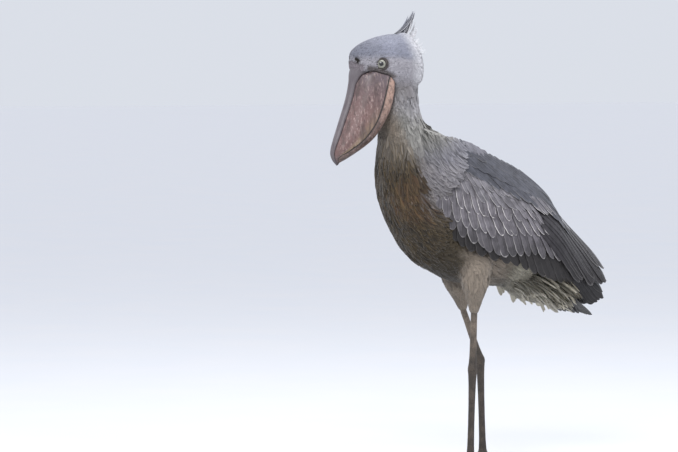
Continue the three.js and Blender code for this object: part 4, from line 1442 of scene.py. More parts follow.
def make_vent_plumes():
    """Loose pale plumes under the tail, which hang in a ragged mass behind the legs."""
    random = np.random.default_rng(SEEDS["vent_plumes"])
    count = VENT["count"]
    x, y, z = placed(VENT["middle"])
    share = np.sin(random.uniform(-1, 1, count) * np.pi / 2)
    back = random.uniform(*VENT["back"], count)
    up = random.uniform(0, 1, count) * ramp(-30, 20, back)
    low = z + 6 - back * 0.42 - random.uniform(0, VENT["ragged"], count)
    aside = share * (VENT["aside"] + 14 * up)
    root = np.stack([x + aside, y + back + 14 * up, low + VENT["above"] * up], axis=1)
    lengths = random.uniform(*VENT["length"], count) * (1 - 0.15 * np.abs(share)) + VENT["longer"] * up
    headings = share * 16 + random.normal(0, 7, count)
    levels = random.uniform(-6, 5, count)
    drop = VENT["drop"] + 5 * up + random.normal(0, 5, count)
    sag = random.uniform(*VENT["sag"], count)
    points, t = fan_vanes(
        root, lengths, headings, levels, VENT["width"], drop, sag, BODY_PROFILE, 0.6, random
    )
    _, _, uv = onto_skin(root + [0, 0, 10])
    # Painted light: the upper plumes, which hang in the wing's shade, are made up to 0.45 lighter.
    base = shade("vent") * random.normal(1, 0.12, (count, 1)) * (1 + 0.45 * up[:, None])
    base, edge = with_share(base, 0), with_share(base * 1.15, 0.3)
    made = feather_object("vent_feathers", points, t, BODY_PROFILE, base, edge, skin_patch(uv, "plume"))
    finish_piece(made, contour_feathers, "down", "vent_plumes")


def crest_ends(root, share, lean, is_wisp, random):
    """The tips of the crest: locks draw together to one point over the nape, and wisps stand off the skin."""
    many = len(root)
    point = np.array([0, 2 + 0.58 * length("crest_lock"), 1047 + 0.79 * length("crest_lock")])
    own = root + np.stack([lean * 9, mix(30, 24, share), mix(40, -6, share)], axis=1)
    reach = random.uniform(0.62, 1.05, many)[:, None]
    end = root + (mix(own, point, 0.8 * ramp(0.8, 0.15, share)[:, None]) - root) * reach
    end += random.normal(0, 2.8, (many, 3))
    out = root - head_plane(spine_line(0.98))
    stray = unit(out * [1, 1, 0.4] + random.normal(0, 12, (many, 3)))
    loose = root + stray * random.uniform(*CREST["wisp"], (many, 1))
    return np.where(is_wisp[:, None], loose, end)


def make_crest():
    """Narrow locks that rise back from the crown to one point, and loose wisps behind them on the nape."""
    random = np.random.default_rng(SEEDS["crest"])
    locks, wisps = CREST["locks"], CREST["wisps"]
    share = np.concatenate([random.uniform(0, 0.62, locks), random.uniform(0.45, 1, wisps)])
    many = locks + wisps
    is_wisp = np.arange(many) >= locks
    lean = random.normal(0, 0.5, many)
    high = 1050 - 44 * share**2.4 - 1.5 * lean**2
    root = np.stack([lean * mix(7, 16, share), mix(-20, 50, share), high], axis=1)
    end = crest_ends(root, share, lean, is_wisp, random)
    low = mix(root, end, 0.55) + [0, 7, -13] * (1 - is_wisp[:, None])
    t = np.array(LOCK["rings"])[:, None]
    centre = root[:, None] * (1 - t) ** 2 + low[:, None] * 2 * (1 - t) * t + end[:, None] * t**2
    ahead = unit(np.gradient(centre, axis=1))
    side = unit(np.cross(ahead, np.array([0, -1.0, 0.7])) + random.normal(0, 0.3, (many, 1, 3)))
    up = unit(np.cross(side, ahead))
    half = np.where(is_wisp, 0.7, mix(3.2, 2.0, share))[:, None] * np.array(LOCK["outline"])
    thick = np.maximum(half * 0.2, 0.2)
    points = section(centre, side, up, half, thick, BODY_PROFILE)
    points = head_place(points.reshape(-1, 3)).reshape(points.shape)
    _, _, uv = onto_skin(head_place(root))
    paler = ramp(-0.05, 0.5, share + random.normal(0, 0.2, many))[:, None]
    base = mix(shade("crown") * 0.65, shade("nape"), paler) * random.normal(0.95, 0.15, (many, 1))
    base, edge = with_share(base, 0), with_share(base * 1.3, 0.4)
    made = feather_object("crest_locks", points, t[:, 0], BODY_PROFILE, base, edge, skin_patch(uv, "feather"))
    finish_piece(made, contour_feathers, "grey_feathers", "crest")


# Bill and eyes

bill_culmen, bill_mouth, bill_under = (through([[0, *s[i]] for s in BILL]) for i in range(3))
bill_widths = through([[s[3], s[4]] for s in BILL])


def bill_sections(along):
    """The bill's lines, half widths, way down and depth at places from its root to its hook."""
    culmen, mouth, under = bill_culmen(along), bill_mouth(along), bill_under(along)
    half, jaw = bill_widths(along).T
    down = mouth - culmen
    deep = np.linalg.norm(down, axis=1)
    return culmen, mouth, under, half, jaw, unit(down), deep


def bill_tube(bm, sides, steps, outline):
    """One half of the bill. outline(along) lists one side's points from the ridge down."""

    def place(along, around):
        rows = np.unique(np.round(along, 6))
        row = np.searchsorted(rows, np.round(along, 6))
        rim = through(outline(rows))
        half_way = 1 - np.abs(2 * around - 1)
        out = rim(half_way)[np.arange(len(row)), row]
        out[:, 0] *= np.where(around < 0.5, 1, -1)
        return head_place(out)

    tube(bm, sides, steps, place)


def upper_outline(along):
    """One side of the upper bill: ridge, groove, full flank, cutting edge and palate."""
    culmen, _, _, half, _, down, deep = bill_sections(along)
    aside = np.minimum(np.interp(along, GROOVE["along"], GROOVE["aside"]), half * 0.64)
    below = np.minimum(np.interp(along, GROOVE["along"], GROOVE["below"]), deep * 0.44)
    cut = np.minimum(GROOVE["cut"], aside * 0.12)

    def at(x, lower):
        return culmen + down * np.asarray(lower)[:, None] + nudge(x)

    def flank(share):
        lower = mix(below / deep, 1, share)
        return at(half * np.interp(lower, FLANK["down"], FLANK["wide"]), deep * lower)

    return np.stack([
        at(0 * half, 0 * half),
        at(aside * 0.55, below * 0.16),
        at(aside * 0.9, below * 0.62),
        at(aside - cut * 0.4, below + cut),
        at(aside + 2.2 * cut, below + cut * 0.1),
        flank(0.2),
        flank(0.46),
        flank(0.74),
        at(half * 0.95, deep),
        at(half * 0.74, deep * 0.93),
        at(0 * half, deep * 0.8),
    ])


def lower_outline(along):
    """One side of the lower bill: its top, which fills the palate, its flank and its flat underside."""
    culmen, mouth, under, half, jaw, down, deep = bill_sections(along)
    below = under - mouth

    def roof(x, share):
        return culmen + down * (deep * share + MOUTH_GAP)[:, None] + nudge(x)

    def at(x, share):
        return mouth + down * MOUTH_GAP + below * share + nudge(x)

    return np.stack([
        roof(0 * half, 0.8),
        roof(half * 0.74, 0.93),
        roof(half * 0.93, 0.995),
        at(half * 0.94, 0.3),
        at(mix(half, jaw, 0.6), 0.7),
        at(jaw * 0.8, 1),
        at(jaw * 0.4, 0.94),
        at(0 * half, 0.86),
    ])


def make_bill():
    """Both halves of the bill, closed on each other."""
    upper = mesh_of("bill_upper", lambda bm: bill_tube(bm, 120, 110, upper_outline))
    finish_piece(upper, upper_bill_horn, "bill_horn", "upper_bill")
    lower = mesh_of("bill_lower", lambda bm: bill_tube(bm, 96, 100, lower_outline))
    finish_piece(lower, lower_bill_horn, "bill_horn", "lower_bill")


def make_eye(side, name):
    """An eyeball that looks aside, and the ring of its lid: side is 1 for the left and -1 for the right."""
    middle = eye_middle(side)
    turn = np.array(Vector((0, 0, 1)).rotation_difference(Vector(eye_faces(side))).to_matrix())

    def ball(along, around):
        polar, angle = along * np.pi, around * 2 * np.pi
        wide = np.sin(polar)
        aside = np.stack([wide * np.cos(angle), wide * np.sin(angle), np.cos(polar)], axis=1)
        return head_place(middle + (aside * EYE["ball"]) @ turn.T)

    def lid(along, around):
        angle, ring = along * 2 * np.pi, around * 2 * np.pi
        reach = LID["radius"] + LID["wide"] * np.cos(ring) + LID["wrinkle"] * np.sin(angle * LID["wrinkles"])
        high = LID["height"] + LID["thick"] * np.sin(ring) - LID["slope"] * (reach - LID["flat"])
        flat = np.stack([reach * np.cos(angle), reach * np.sin(angle), high], axis=1)
        return head_place(middle + flat @ turn.T)

    made = mesh_of("eyeball_" + name, lambda bm: tube(bm, 48, 48, ball))
    finish_piece(made, eye_cornea, "eye", "eye_" + name)
    rim = mesh_of("eyelid_" + name, lambda bm: tube(bm, 20, 96, lid, closed_ring=True))
    finish_piece(rim, bare_face_skin, "leg_skin")


# Legs


def shaft_in_thigh(bm, side):
    """The bare leg's shaft, carried on up into the thigh."""
    hip, cuff, hock = (placed(p) for p in LEGS[side])
    knee = mix(cuff, hip, 0.35)
    line = through([knee, cuff, mix(cuff, hock, 0.3)])

    def place(along, around):
        angle = 2 * np.pi * around
        return line(along) + LEG_RADIUS * np.stack([np.cos(angle), np.sin(angle), 0 * angle], axis=1)

    tube(bm, 16, 24, place)


def make_leg(side):
    """One bare leg with its toes as a single skin, flat on the floor."""
    nodes = [f"shin_{side}", f"shank_{side}"] + [f"toe_{toe}_{side}" for toe in TOES]

    def fill(bm):
        for node in nodes:
            add_copy(bm, node, LEG_SKIN["swell"])
        shaft_in_thigh(bm, side)

    made = mesh_of(f"leg_{side}", fill)
    fuse(made, LEG_SKIN)
    rest_on_floor(made)
    finish_piece(made, leg_scutes, "leg_skin", *nodes)


def make_claws(side):
    """The claws of one foot."""
    nodes = [f"claw_{toe}_{side}" for toe in TOES]

    def fill(bm):
        for node in nodes:
            add_copy(bm, node, CLAW_SKIN["swell"])

    made = mesh_of(f"claws_{side}", fill)
    fuse(made, CLAW_SKIN)
    rest_on_floor(made)
    finish_piece(made, claw_horn, "claw_horn", *nodes)


# Materials

# Kinds of node with their settings, without the ShaderNode that their names start with. Sockets are given
# by number. RANGE takes its value at 0 from between 1 and 2 to between 3 and 4, which are 0 and 1 if not
# given. BLEND and TINT take a share at 0 and colours at 6 and 7, and give MIXED.
RANGE = ("MapRange", {"interpolation_type": "SMOOTHSTEP"})
BLEND = ("Mix", {"data_type": "RGBA", "blend_type": "MIX"})
TINT = ("Mix", {"data_type": "RGBA", "blend_type": "MULTIPLY"})
PRODUCT = ("Math", {"operation": "MULTIPLY"})
MATHS = ("Math", {})
NOISE = ("TexNoise", {})
MIXED = 2
HORN = {"Roughness": 0.4, "IOR": 1.55}


def add_node(tree, kind, inputs=None, **settings):
    """Adds a node with its settings. An input gets a value, a node's main output, or one output of a node."""
    kind, always = kind if isinstance(kind, tuple) else (kind, {})
    made = tree.nodes.new("ShaderNode" + kind)
    for name, value in {**always, **settings}.items():
        setattr(made, name, value)
    for key, value in (inputs or {}).items():
        if isinstance(value, bpy.types.Node):
            value = (value, MIXED if value.bl_idname == "ShaderNodeMix" else 0)
        if isinstance(value, tuple) and isinstance(value[0], bpy.types.Node):
            tree.links.new(value[0].outputs[value[1]], made.inputs[key])
        else:
            made.inputs[key].default_value = value
    return made


def scale_of(pattern):
    """The scale that draws a pattern at its real size."""
    return 1 / (PATTERNS[pattern] * MM)


def barb_waves(kind):
    """How fast the barbs' wave runs along a feather, in radians for its whole length."""
    return math.tau * BARBS[kind]["feather"] / BARBS[kind]["apart"]


def paint_of(name, strength=1):
    """A colour that the user set, made lighter or darker, for a node's socket."""
    return (*(float(c) for c in np.clip(shade(name) * strength, 0, 1)), 1)


def material(finish):
    """The material of a finish, made once: finish(add) adds its nodes and gives its shader."""
    name = finish.__name__
    if name not in bpy.data.materials:
        made = bpy.data.materials.new(name)
        made.use_nodes = True
        made.node_tree.nodes.clear()
        add = functools.partial(add_node, made.node_tree)
        add("OutputMaterial", {0: finish(add)})
    return bpy.data.materials[name]


def contour_feathers(add):
    """Contour feathers: soft matt vanes with pale edges and fine barbs, for a velvety, streaked coat."""
    base = add("Attribute", attribute_name="Plumage")
    fringe = add("Attribute", attribute_name="Fringe")
    vane = add("UVMap", uv_map="Vane")
    parts = add("SeparateXYZ", {0: vane})
    inward = add(MATHS, {0: parts, 1: 0.5}, operation="PINGPONG")
    sides = add(RANGE, {0: inward, 1: 0.34, 2: 0.0})
    tip = add(RANGE, {0: (parts, 1), 1: 0.75, 2: 1.0})
    rim = add(MATHS, {0: sides, 1: tip}, operation="MAXIMUM")
    amount = add(PRODUCT, {0: rim, 1: (fringe, "Alpha")})
    edged = add(BLEND, {0: amount, 6: base, 7: fringe})
    shaft = add(RANGE, {0: inward, 1: 0.41, 2: 0.5, 4: 0.3})
    streaked = add(BLEND, {0: shaft, 6: edged, 7: paint_of("shadow")})
    # Painted shade at the roots, where the feathers overlap.
    root = add(RANGE, {0: (parts, 1), 1: 0.0, 2: 0.35, 3: 0.5, 4: 0})
    colour = add(BLEND, {0: root, 6: streaked, 7: paint_of("shadow")})
    slant = add(MATHS, {0: inward, 1: 0.6, 2: (parts, 1)}, operation="MULTIPLY_ADD")
    waves = add(PRODUCT, {0: slant, 1: barb_waves("contour")})
    barbs = add(MATHS, {0: waves}, operation="SINE")
    raised = add("Bump", {"Strength": 0.25, "Distance": 0.0004, "Height": barbs})
    return add("BsdfPrincipled", {
        "Base Color": colour, "Normal": raised, "Roughness": 0.75, "Specular IOR Level": 0.25,
        "Sheen Weight": 0.2, "Sheen Roughness": 0.5,
    })


def vane_feathers(add):
    """Flight feathers and coverts: firm vanes with worn pale edges, thin shafts and fine slanting barbs."""
    base = add("Attribute", attribute_name="Plumage")
    fringe = add("Attribute", attribute_name="Fringe")
    place = add("TexCoord")
    vane = add("UVMap", uv_map="Vane")
    parts = add("SeparateXYZ", {0: vane})
    inward = add(MATHS, {0: parts, 1: 0.5}, operation="PINGPONG")
    sides = add(RANGE, {0: inward, 1: 0.1, 2: 0.04})
    outer_part = add(RANGE, {0: (parts, 1), 1: 0.5, 2: 0.8})
    side_rim = add(PRODUCT, {0: sides, 1: outer_part})
    tip = add(RANGE, {0: (parts, 1), 1: 0.965, 2: 0.985})
    rim = add(MATHS, {0: side_rim, 1: tip}, operation="MAXIMUM")
    worn = add(NOISE, {0: (place, "Object"), "Scale": scale_of("vane wear"), "Detail": 3})
    wear = add(RANGE, {0: worn, 1: 0.3, 2: 0.5, 3: 0.5, 4: 1})
    worn_rim = add(PRODUCT, {0: rim, 1: wear})
    amount = add(PRODUCT, {0: worn_rim, 1: (fringe, "Alpha")})
    mottle = add(NOISE, {0: (place, "Object"), "Scale": scale_of("vane mottle"), "Detail": 4})
    tone = add(RANGE, {0: mottle, 1: 0.35, 2: 0.65, 3: 0.72, 4: 1.2})
    toned = add(TINT, {0: 1.0, 6: base, 7: tone})
    toward_tip = add(RANGE, {0: (parts, 1), 1: 0.3, 2: 0.95})
    darker = add(PRODUCT, {0: toward_tip, 1: (base, "Alpha")})
    graded = add(BLEND, {0: darker, 6: toned, 7: paint_of("shadow", 0.6)})
    edged = add(BLEND, {0: amount, 6: graded, 7: fringe})
    shaft = add(RANGE, {0: inward, 1: 0.465, 2: 0.49, 4: 0.55})
    colour = add(BLEND, {0: shaft, 6: edged, 7: paint_of("shadow")})
    slant = add(MATHS, {0: inward, 1: 0.4, 2: (parts, 1)}, operation="MULTIPLY_ADD")
    waves = add(PRODUCT, {0: slant, 1: barb_waves("vane")})
    barbs = add(MATHS, {0: waves}, operation="SINE")
    raised = add("Bump", {"Strength": 0.2, "Distance": 0.0003, "Height": barbs})
    return add("BsdfPrincipled", {
        "Base Color": colour, "Normal": raised, "Roughness": 0.55, "Specular IOR Level": 0.35,
        "Sheen Weight": 0.1, "Sheen Roughness": 0.4,
    })


def downy_skin(add):
    """Downy skin under the feathers, darkened with painted shade as dark as their bases, so that gaps look
    deep and soft.
    """
    base = add("Attribute", attribute_name="Plumage")
    place = add("TexCoord")
    down = add(NOISE, {0: (place, "Object"), "Scale": scale_of("skin down"), "Detail": 4})
    # Painted shade: the down is darkened to between 0.45 and 0.95 of the coat's colour, unevenly with the
    # down's pattern.
    tone = add(RANGE, {0: down, 1: 0.3, 2: 0.7, 3: 0.45, 4: 0.95})
    colour = add(TINT, {0: 1.0, 6: base, 7: tone})
    raised = add("Bump", {"Strength": 0.5, "Distance": 0.001, "Height": down})
    return add("BsdfPrincipled", {
        "Base Color": colour, "Normal": raised, "Roughness": 0.85, "Specular IOR Level": 0.2,
    })


def upper_bill_horn(add):
    """Bill horn: keratin with a lavender ridge, a dark groove and flanks blotched along their length."""
    place = add("TexCoord")
    grid = add("UVMap", uv_map="Grid")
    parts = add("SeparateXYZ", {0: grid})
    down = add(MATHS, {0: parts, 1: 0.5}, operation="PINGPONG")
    lengthwise = add("Mapping", {0: (place, "Object"), 2: BILL_LEAN, 3: BILL_STRETCH})
    blotch = add(NOISE, {0: lengthwise, "Scale": scale_of("bill blotch"), "Detail": 6, "Roughness": 0.65})
    fleck = add(NOISE, {0: lengthwise, "Scale": scale_of("bill fleck"), "Detail": 4, "Roughness": 0.6})
    speck = add(NOISE, {0: lengthwise, "Scale": scale_of("bill speck"), "Detail": 5, "Distortion": 1.5})
    root = add(RANGE, {0: (parts, 1), 1: 0.42, 2: 0.05, 4: 0.85})
    horn = add(BLEND, {0: root, 6: paint_of("bill"), 7: paint_of("bill_base")})
    near_edge = add(RANGE, {0: down, 1: 0.3, 2: 0.395, 4: 0.8})
    far_half = add(RANGE, {0: (parts, 1), 1: 0.3, 2: 0.6})
    yellow = add(PRODUCT, {0: near_edge, 1: far_half})
    yellowed = add(BLEND, {0: yellow, 6: horn, 7: paint_of("tomium")})
    pale = add(RANGE, {0: fleck, 1: 0.5, 2: 0.66, 4: 0.55})
    flecked = add(BLEND, {0: pale, 6: yellowed, 7: paint_of("bill_fleck")})
    stain = add(RANGE, {0: blotch, 1: 0.46, 2: 0.64, 4: 0.7})
    stained = add(BLEND, {0: stain, 6: flecked, 7: paint_of("bill_stain_and_groove_shade", 1.4)})
    dots = add(RANGE, {0: speck, 1: 0.58, 2: 0.66, 4: 0.7})
    dotted = add(BLEND, {0: dots, 6: stained, 7: paint_of("bill_stain_and_groove_shade")})
    ridge_tone = add(BLEND, {0: stain, 6: paint_of("bill_ridge"), 7: paint_of("bill_base", 0.8)})
    on_ridge = add(RANGE, {0: down, 1: GROOVE_AT, 2: GROOVE_AT - 0.006, 4: 0.9})
    ridged = add(BLEND, {0: on_ridge, 6: dotted, 7: ridge_tone})
    # Painted shade: a dark line in the groove beside the ridge.
    off_groove = add(MATHS, {0: down, 1: GROOVE_AT, 2: 0.018}, operation="COMPARE")
    grooved = add(BLEND, {0: off_groove, 6: ridged, 7: paint_of("bill_stain_and_groove_shade", 0.4)})
    hook = add(RANGE, {0: (parts, 1), 1: 0.8, 2: 0.97, 4: 0.7})
    hooked = add(BLEND, {0: hook, 6: grooved, 7: paint_of("bill_base", 0.7)})
    # Painted shade inside the bill, past the cutting edge.
    inside = add(RANGE, {0: down, 1: EDGE_AT, 2: EDGE_AT + 0.01})
    colour = add(BLEND, {0: inside, 6: hooked, 7: paint_of("shadow", 0.4)})
    raised = add("Bump", {"Strength": 0.35, "Distance": 0.001, "Height": speck})
    return add("BsdfPrincipled", {"Base Color": colour, "Normal": raised, **HORN})


def lower_bill_horn(add):
    """Bill horn: flesh-coloured keratin near the gape that turns brown and blotched towards the tip."""
    place = add("TexCoord")
    grid = add("UVMap", uv_map="Grid")
    parts = add("SeparateXYZ", {0: grid})
    down = add(MATHS, {0: parts, 1: 0.5}, operation="PINGPONG")
    blotch = add(NOISE, {
        0: (place, "Object"), "Scale": scale_of("jaw blotch"), "Detail": 6, "Roughness": 0.65,
    })
    fleck = add(NOISE, {0: (place, "Object"), "Scale": scale_of("jaw fleck"), "Detail": 4})
    along = add(RANGE, {0: (parts, 1), 1: 0.15, 2: 0.6, 3: 0.05, 4: 0.85})
    flesh = add(BLEND, {0: along, 6: paint_of("jaw"), 7: paint_of("bill_stain_and_groove_shade", 1.6)})
    low = add(RANGE, {0: down, 1: 0.27, 2: 0.35, 4: 0.75})
    horn = add(BLEND, {0: low, 6: flesh, 7: paint_of("bill_ridge", 1.1)})
    pale = add(RANGE, {0: fleck, 1: 0.52, 2: 0.68, 4: 0.5})
    flecked = add(BLEND, {0: pale, 6: horn, 7: paint_of("bill_fleck")})
    blotched = add(RANGE, {0: blotch, 1: 0.45, 2: 0.6})
    depth = add(MATHS, {0: along, 1: 0.6}, operation="MAXIMUM")
    stain = add(PRODUCT, {0: blotched, 1: depth})
    stained = add(BLEND, {0: stain, 6: flecked, 7: paint_of("bill_stain_and_groove_shade")})
    # Painted shade on the top of the lower bill, inside the closed bill.
    inside = add(RANGE, {0: down, 1: 0.19, 2: 0.15})
    colour = add(BLEND, {0: inside, 6: stained, 7: paint_of("shadow", 0.4)})
    raised = add("Bump", {"Strength": 0.35, "Distance": 0.001, "Height": blotch})
    return add("BsdfPrincipled", {"Base Color": colour, "Normal": raised, **HORN})


def eye_cornea(add):
    """A wet eye: a black pupil, a pale streaked iris and a dark rim under a clear, shining cornea."""
    grid = add("UVMap", uv_map="Grid")
    parts = add("SeparateXYZ", {0: grid})
    round_eye = math.tau * EYE["ball"]
    streaks = add(NOISE, {0: grid, "Scale": round_eye / IRIS_STREAK, "Detail": 3})
    streak = add(RANGE, {0: streaks, 1: 0.35, 2: 0.65, 4: 0.5})
    iris = add(BLEND, {0: streak, 6: paint_of("iris"), 7: paint_of("iris", 0.55)})
    in_iris = add(RANGE, {0: (parts, 1), 1: 0.146, 2: 0.154})
    with_pupil = add(BLEND, {0: in_iris, 6: paint_of("shadow", 0.15), 7: iris})
    past_iris = add(RANGE, {0: (parts, 1), 1: 0.3, 2: 0.325})
    colour = add(BLEND, {0: past_iris, 6: with_pupil, 7: paint_of("shadow", 0.5)})
    return add("BsdfPrincipled", {
        "Base Color": colour, "Roughness": 0.08, "IOR": 1.38, "Coat Weight": 1.0, "Coat Roughness": 0.03,
    })


def bare_face_skin(add):
    """Bare facial skin: brown, finely wrinkled with painted shade in the folds, and dull, which frames the eye
    with a dark ring.
    """
    place = add("TexCoord")
    fold = add(NOISE, {0: (place, "Object"), "Scale": scale_of("face wrinkle"), "Detail": 4})
    # Painted shade: the low parts of the wrinkles are darkened, down to 0.3 of the skin's colour.
    depth = add(RANGE, {0: fold, 1: 0.4, 2: 0.7})
    colour = add(BLEND, {0: depth, 6: paint_of("bare", 0.3), 7: paint_of("bare")})
    raised = add("Bump", {"Strength": 0.5, "Distance": 0.0006, "Height": fold})
    return add("BsdfPrincipled", {
        "Base Color": colour, "Normal": raised, "Roughness": 0.6,
    })


def leg_scutes(add):
    """Scaly leg skin: many-sided scutes with dark joints and a dull gloss, darker from the hock down."""
    place = add("TexCoord")
    parts = add("SeparateXYZ", {0: (place, "Object")})
    cells = {0: (place, "Object"), "Scale": scale_of("leg scute")}
    scutes = add("TexVoronoi", cells, feature="DISTANCE_TO_EDGE")
    tint = add(NOISE, {0: (place, "Object"), "Scale": scale_of("leg tint"), "Detail": 4})
    low = add(RANGE, {0: (parts, 2), 1: 0.33, 2: 0.24, 4: 0.9})
    base = add(BLEND, {0: low, 6: paint_of("leg"), 7: paint_of("shank")})
    tone = add(RANGE, {0: tint, 1: 0.35, 2: 0.65, 3: 0.65, 4: 1.3})
    toned = add(TINT, {0: 1.0, 6: base, 7: tone})
    joint = add(RANGE, {0: scutes, 1: 0.0, 2: 0.12, 3: 0.35, 4: 1})
    colour = add(TINT, {0: 1.0, 6: toned, 7: joint})
    raised = add("Bump", {"Strength": 0.5, "Distance": 0.0008, "Height": joint})
    return add("BsdfPrincipled", {
        "Base Color": colour, "Normal": raised, "Roughness": 0.55,
    })


def claw_horn(add):
    """Claw horn: dark keratin that is worn paler in streaks, with a satin gloss. The frame has a plain
    material of this name, which material() gives in its place, so these nodes aren't drawn."""
    place = add("TexCoord")
    wear = add(NOISE, {0: (place, "Object"), "Scale": scale_of("claw wear"), "Detail": 3})
    worn = add(RANGE, {0: wear, 1: 0.35, 2: 0.7})
    colour = add(BLEND, {0: worn, 6: paint_of("claw"), 7: paint_of("claw", 2.2)})
    raised = add("Bump", {"Strength": 0.2, "Distance": 0.0004, "Height": wear})
    return add("BsdfPrincipled", {"Base Color": colour, "Normal": raised, **HORN})


def studio_floor(add):
    """Pale studio floor: matt paper with a faint unevenness, close to the backdrop's tone."""
    place = add("TexCoord")
    patches = add(NOISE, {0: (place, "Object"), "Scale": scale_of("paper patch")})
    colour = add(BLEND, {0: patches, 6: (*linear(PAPER[0]), 1), 7: (*linear(PAPER[1]), 1)})
    return add("BsdfPrincipled", {
        "Base Color": colour, "Roughness": 0.9, "Specular IOR Level": 0.1,
    })


# Stage


def make_floor():
    """A wide pale floor."""

    def sheet(bm):
        bmesh.ops.create_grid(bm, x_segments=2, y_segments=2, size=FLOOR_HALF)

    floor = mesh_of("floor", sheet)
    floor.data.materials.append(material(studio_floor))


def make_backdrop():
    """A pale backdrop all round, a little darker near the floor."""
    world = bpy.data.worlds.new("studio")
    bpy.context.scene.world = world
    world.use_nodes = True
    tree = world.node_tree
    add = functools.partial(add_node, tree)
    place = add("TexCoord")
    parts = add("SeparateXYZ", {0: place})
    height = add(RANGE, {0: (parts, 2), 1: 0.0, 2: 0.4})
    low, high = ((*linear(BACKDROP[part]), 1) for part in ("near the floor", "overhead"))
    colour = add(BLEND, {0: height, 6: low, 7: high})
    tree.links.new(colour.outputs[MIXED], tree.nodes["Background"].inputs["Color"])
    tree.nodes["Background"].inputs["Strength"].default_value = BACKDROP_STRENGTH


def make_lamps():
    """Soft square lamps that shine on the bird's middle."""
    for name, (at, size, power) in LAMPS.items():
        light = bpy.data.lights.new(name, "AREA")
        light.size = size
        light.energy = power
        lamp = new_object(name, light)
        lamp.location = at
        lamp.rotation_euler = (Vector(LAMP_AIM) - lamp.location).to_track_quat("-Z", "Y").to_euler()


def make_camera():
    """The camera, which looks as far aside and down as the photograph does."""
    data = bpy.data.cameras.new("camera")
    data.lens = CAMERA["lens"]
    data.sensor_width = CAMERA["sensor"]
    data.clip_end = CAMERA["far"]
    camera = new_object("camera", data)
    camera.location = CAMERA["at"]
    turn, dip = math.radians(CAMERA["azimuth"]), math.radians(CAMERA["pitch"])
    look = Vector((-math.sin(turn) * math.cos(dip), math.cos(turn) * math.cos(dip), -math.sin(dip)))
    camera.rotation_euler = look.to_track_quat("-Z", "Y").to_euler()
    bpy.context.scene.camera = camera
    bpy.context.scene.view_settings.view_transform = "Standard"


# Operators, panel and registration


class SHOEBILL_OT_skin(bpy.types.Operator):
    """Makes the skin that carries the feathers."""

    bl_idname = "shoebill.skin"
    bl_label = "Skin"

    def execute(self, context):
        make_skin()
        return {"FINISHED"}


class SHOEBILL_OT_legs(bpy.types.Operator):
    """Makes the scaly legs and feet."""

    bl_idname = "shoebill.legs"
    bl_label = "Legs"

    def execute(self, context):
        for side in LEGS:
            make_leg(side)
        return {"FINISHED"}


class SHOEBILL_OT_claws(bpy.types.Operator):
    """Makes the claws."""

    bl_idname = "shoebill.claws"
    bl_label = "Claws"

    def execute(self, context):
        for side in LEGS:
            make_claws(side)
        return {"FINISHED"}


class SHOEBILL_OT_bill(bpy.types.Operator):
    """Makes the upper and the lower bill."""

    bl_idname = "shoebill.bill"
    bl_label = "Bill"

    def execute(self, context):
        make_bill()
        return {"FINISHED"}


class SHOEBILL_OT_eyes(bpy.types.Operator):
    """Makes the eyes and their lids."""

    bl_idname = "shoebill.eyes"
    bl_label = "Eyes"

    def execute(self, context):
        make_eye(1, "left")
        make_eye(-1, "right")
        return {"FINISHED"}


class SHOEBILL_OT_head_coat(bpy.types.Operator):
    """Makes the small feathers of the face and crown."""

    bl_idname = "shoebill.head_coat"
    bl_label = "Head feathers"

    def execute(self, context):
        make_head_coat()
        return {"FINISHED"}


class SHOEBILL_OT_crest(bpy.types.Operator):
    """Makes the locks of the crest and the wisps of the nape."""

    bl_idname = "shoebill.crest"
    bl_label = "Crest"

    def execute(self, context):
        make_crest()
        return {"FINISHED"}


class SHOEBILL_OT_neck_coat(bpy.types.Operator):
    """Makes the feathers of the neck."""

    bl_idname = "shoebill.neck_coat"
    bl_label = "Neck feathers"

    def execute(self, context):
        make_neck_coat()
        return {"FINISHED"}


class SHOEBILL_OT_breast_coat(bpy.types.Operator):
    """Makes the hanging plumes of the breast."""

    bl_idname = "shoebill.breast_coat"
    bl_label = "Breast plumes"

    def execute(self, context):
        make_breast_coat()
        return {"FINISHED"}


class SHOEBILL_OT_body_coat(bpy.types.Operator):
    """Makes the feathers of the belly and back."""

    bl_idname = "shoebill.body_coat"
    bl_label = "Body feathers"

    def execute(self, context):
        make_body_coat()
        return {"FINISHED"}


class SHOEBILL_OT_mantle_coat(bpy.types.Operator):
    """Makes the feathers of the upper back and shoulders."""

    bl_idname = "shoebill.mantle_coat"
    bl_label = "Mantle feathers"

    def execute(self, context):
        make_mantle_coat()
        return {"FINISHED"}


class SHOEBILL_OT_thigh_coat(bpy.types.Operator):
    """Makes the feathers of the thighs."""

    bl_idname = "shoebill.thigh_coat"
    bl_label = "Thigh feathers"

    def execute(self, context):
        make_thigh_coat()
        return {"FINISHED"}


class SHOEBILL_OT_wings(bpy.types.Operator):
    """Makes the feathers of both wings."""

    bl_idname = "shoebill.wings"
    bl_label = "Wings"

    def execute(self, context):
        make_wing(1)
        make_wing(-1)
        return {"FINISHED"}


class SHOEBILL_OT_tail(bpy.types.Operator):
    """Makes the tail feathers."""

    bl_idname = "shoebill.tail"
    bl_label = "Tail"

    def execute(self, context):
        make_tail()
        return {"FINISHED"}


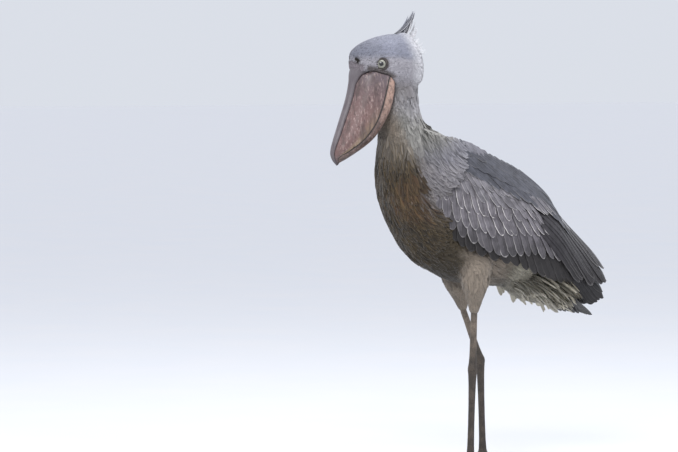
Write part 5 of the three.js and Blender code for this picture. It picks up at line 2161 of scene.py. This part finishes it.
class SHOEBILL_OT_vent_plumes(bpy.types.Operator):
    """Makes the loose plumes under the tail."""

    bl_idname = "shoebill.vent_plumes"
    bl_label = "Vent plumes"

    def execute(self, context):
        make_vent_plumes()
        return {"FINISHED"}


class SHOEBILL_OT_stage(bpy.types.Operator):
    """Makes the floor, the lights and the camera."""

    bl_idname = "shoebill.stage"
    bl_label = "Stage"

    def execute(self, context):
        make_floor()
        make_backdrop()
        make_lamps()
        make_camera()
        return {"FINISHED"}


OPERATORS = (
    SHOEBILL_OT_skin,
    SHOEBILL_OT_legs,
    SHOEBILL_OT_claws,
    SHOEBILL_OT_bill,
    SHOEBILL_OT_eyes,
    SHOEBILL_OT_head_coat,
    SHOEBILL_OT_crest,
    SHOEBILL_OT_neck_coat,
    SHOEBILL_OT_breast_coat,
    SHOEBILL_OT_body_coat,
    SHOEBILL_OT_mantle_coat,
    SHOEBILL_OT_thigh_coat,
    SHOEBILL_OT_wings,
    SHOEBILL_OT_tail,
    SHOEBILL_OT_vent_plumes,
    SHOEBILL_OT_stage,
)


class SHOEBILL_PT_panel(bpy.types.Panel):
    """Lists the bird's colours, sizes and pieces."""

    bl_label = "Shoebill"
    bl_space_type = "VIEW_3D"
    bl_region_type = "UI"
    bl_category = "Shoebill"

    def draw(self, context):
        for name in COLOURS:
            self.layout.prop(context.scene.shoebill_colours, name)
        for name in LENGTHS:
            self.layout.prop(context.scene.shoebill_sizes, name)
        for operator in OPERATORS:
            self.layout.operator(operator.bl_idname)


CLASSES = [ShoebillColours, ShoebillSizes, *OPERATORS, SHOEBILL_PT_panel]


def register():
    for one in CLASSES:
        bpy.utils.register_class(one)
    bpy.types.Scene.shoebill_colours = bpy.props.PointerProperty(type=ShoebillColours)
    bpy.types.Scene.shoebill_sizes = bpy.props.PointerProperty(type=ShoebillSizes)


def unregister():
    del bpy.types.Scene.shoebill_sizes
    del bpy.types.Scene.shoebill_colours
    for one in reversed(CLASSES):
        bpy.utils.unregister_class(one)


def main():
    """Makes every piece in order."""
    register()
    for operator in OPERATORS:
        module, name = operator.bl_idname.split(".")
        getattr(getattr(bpy.ops, module), name)()


if __name__ == "__main__":
    main()
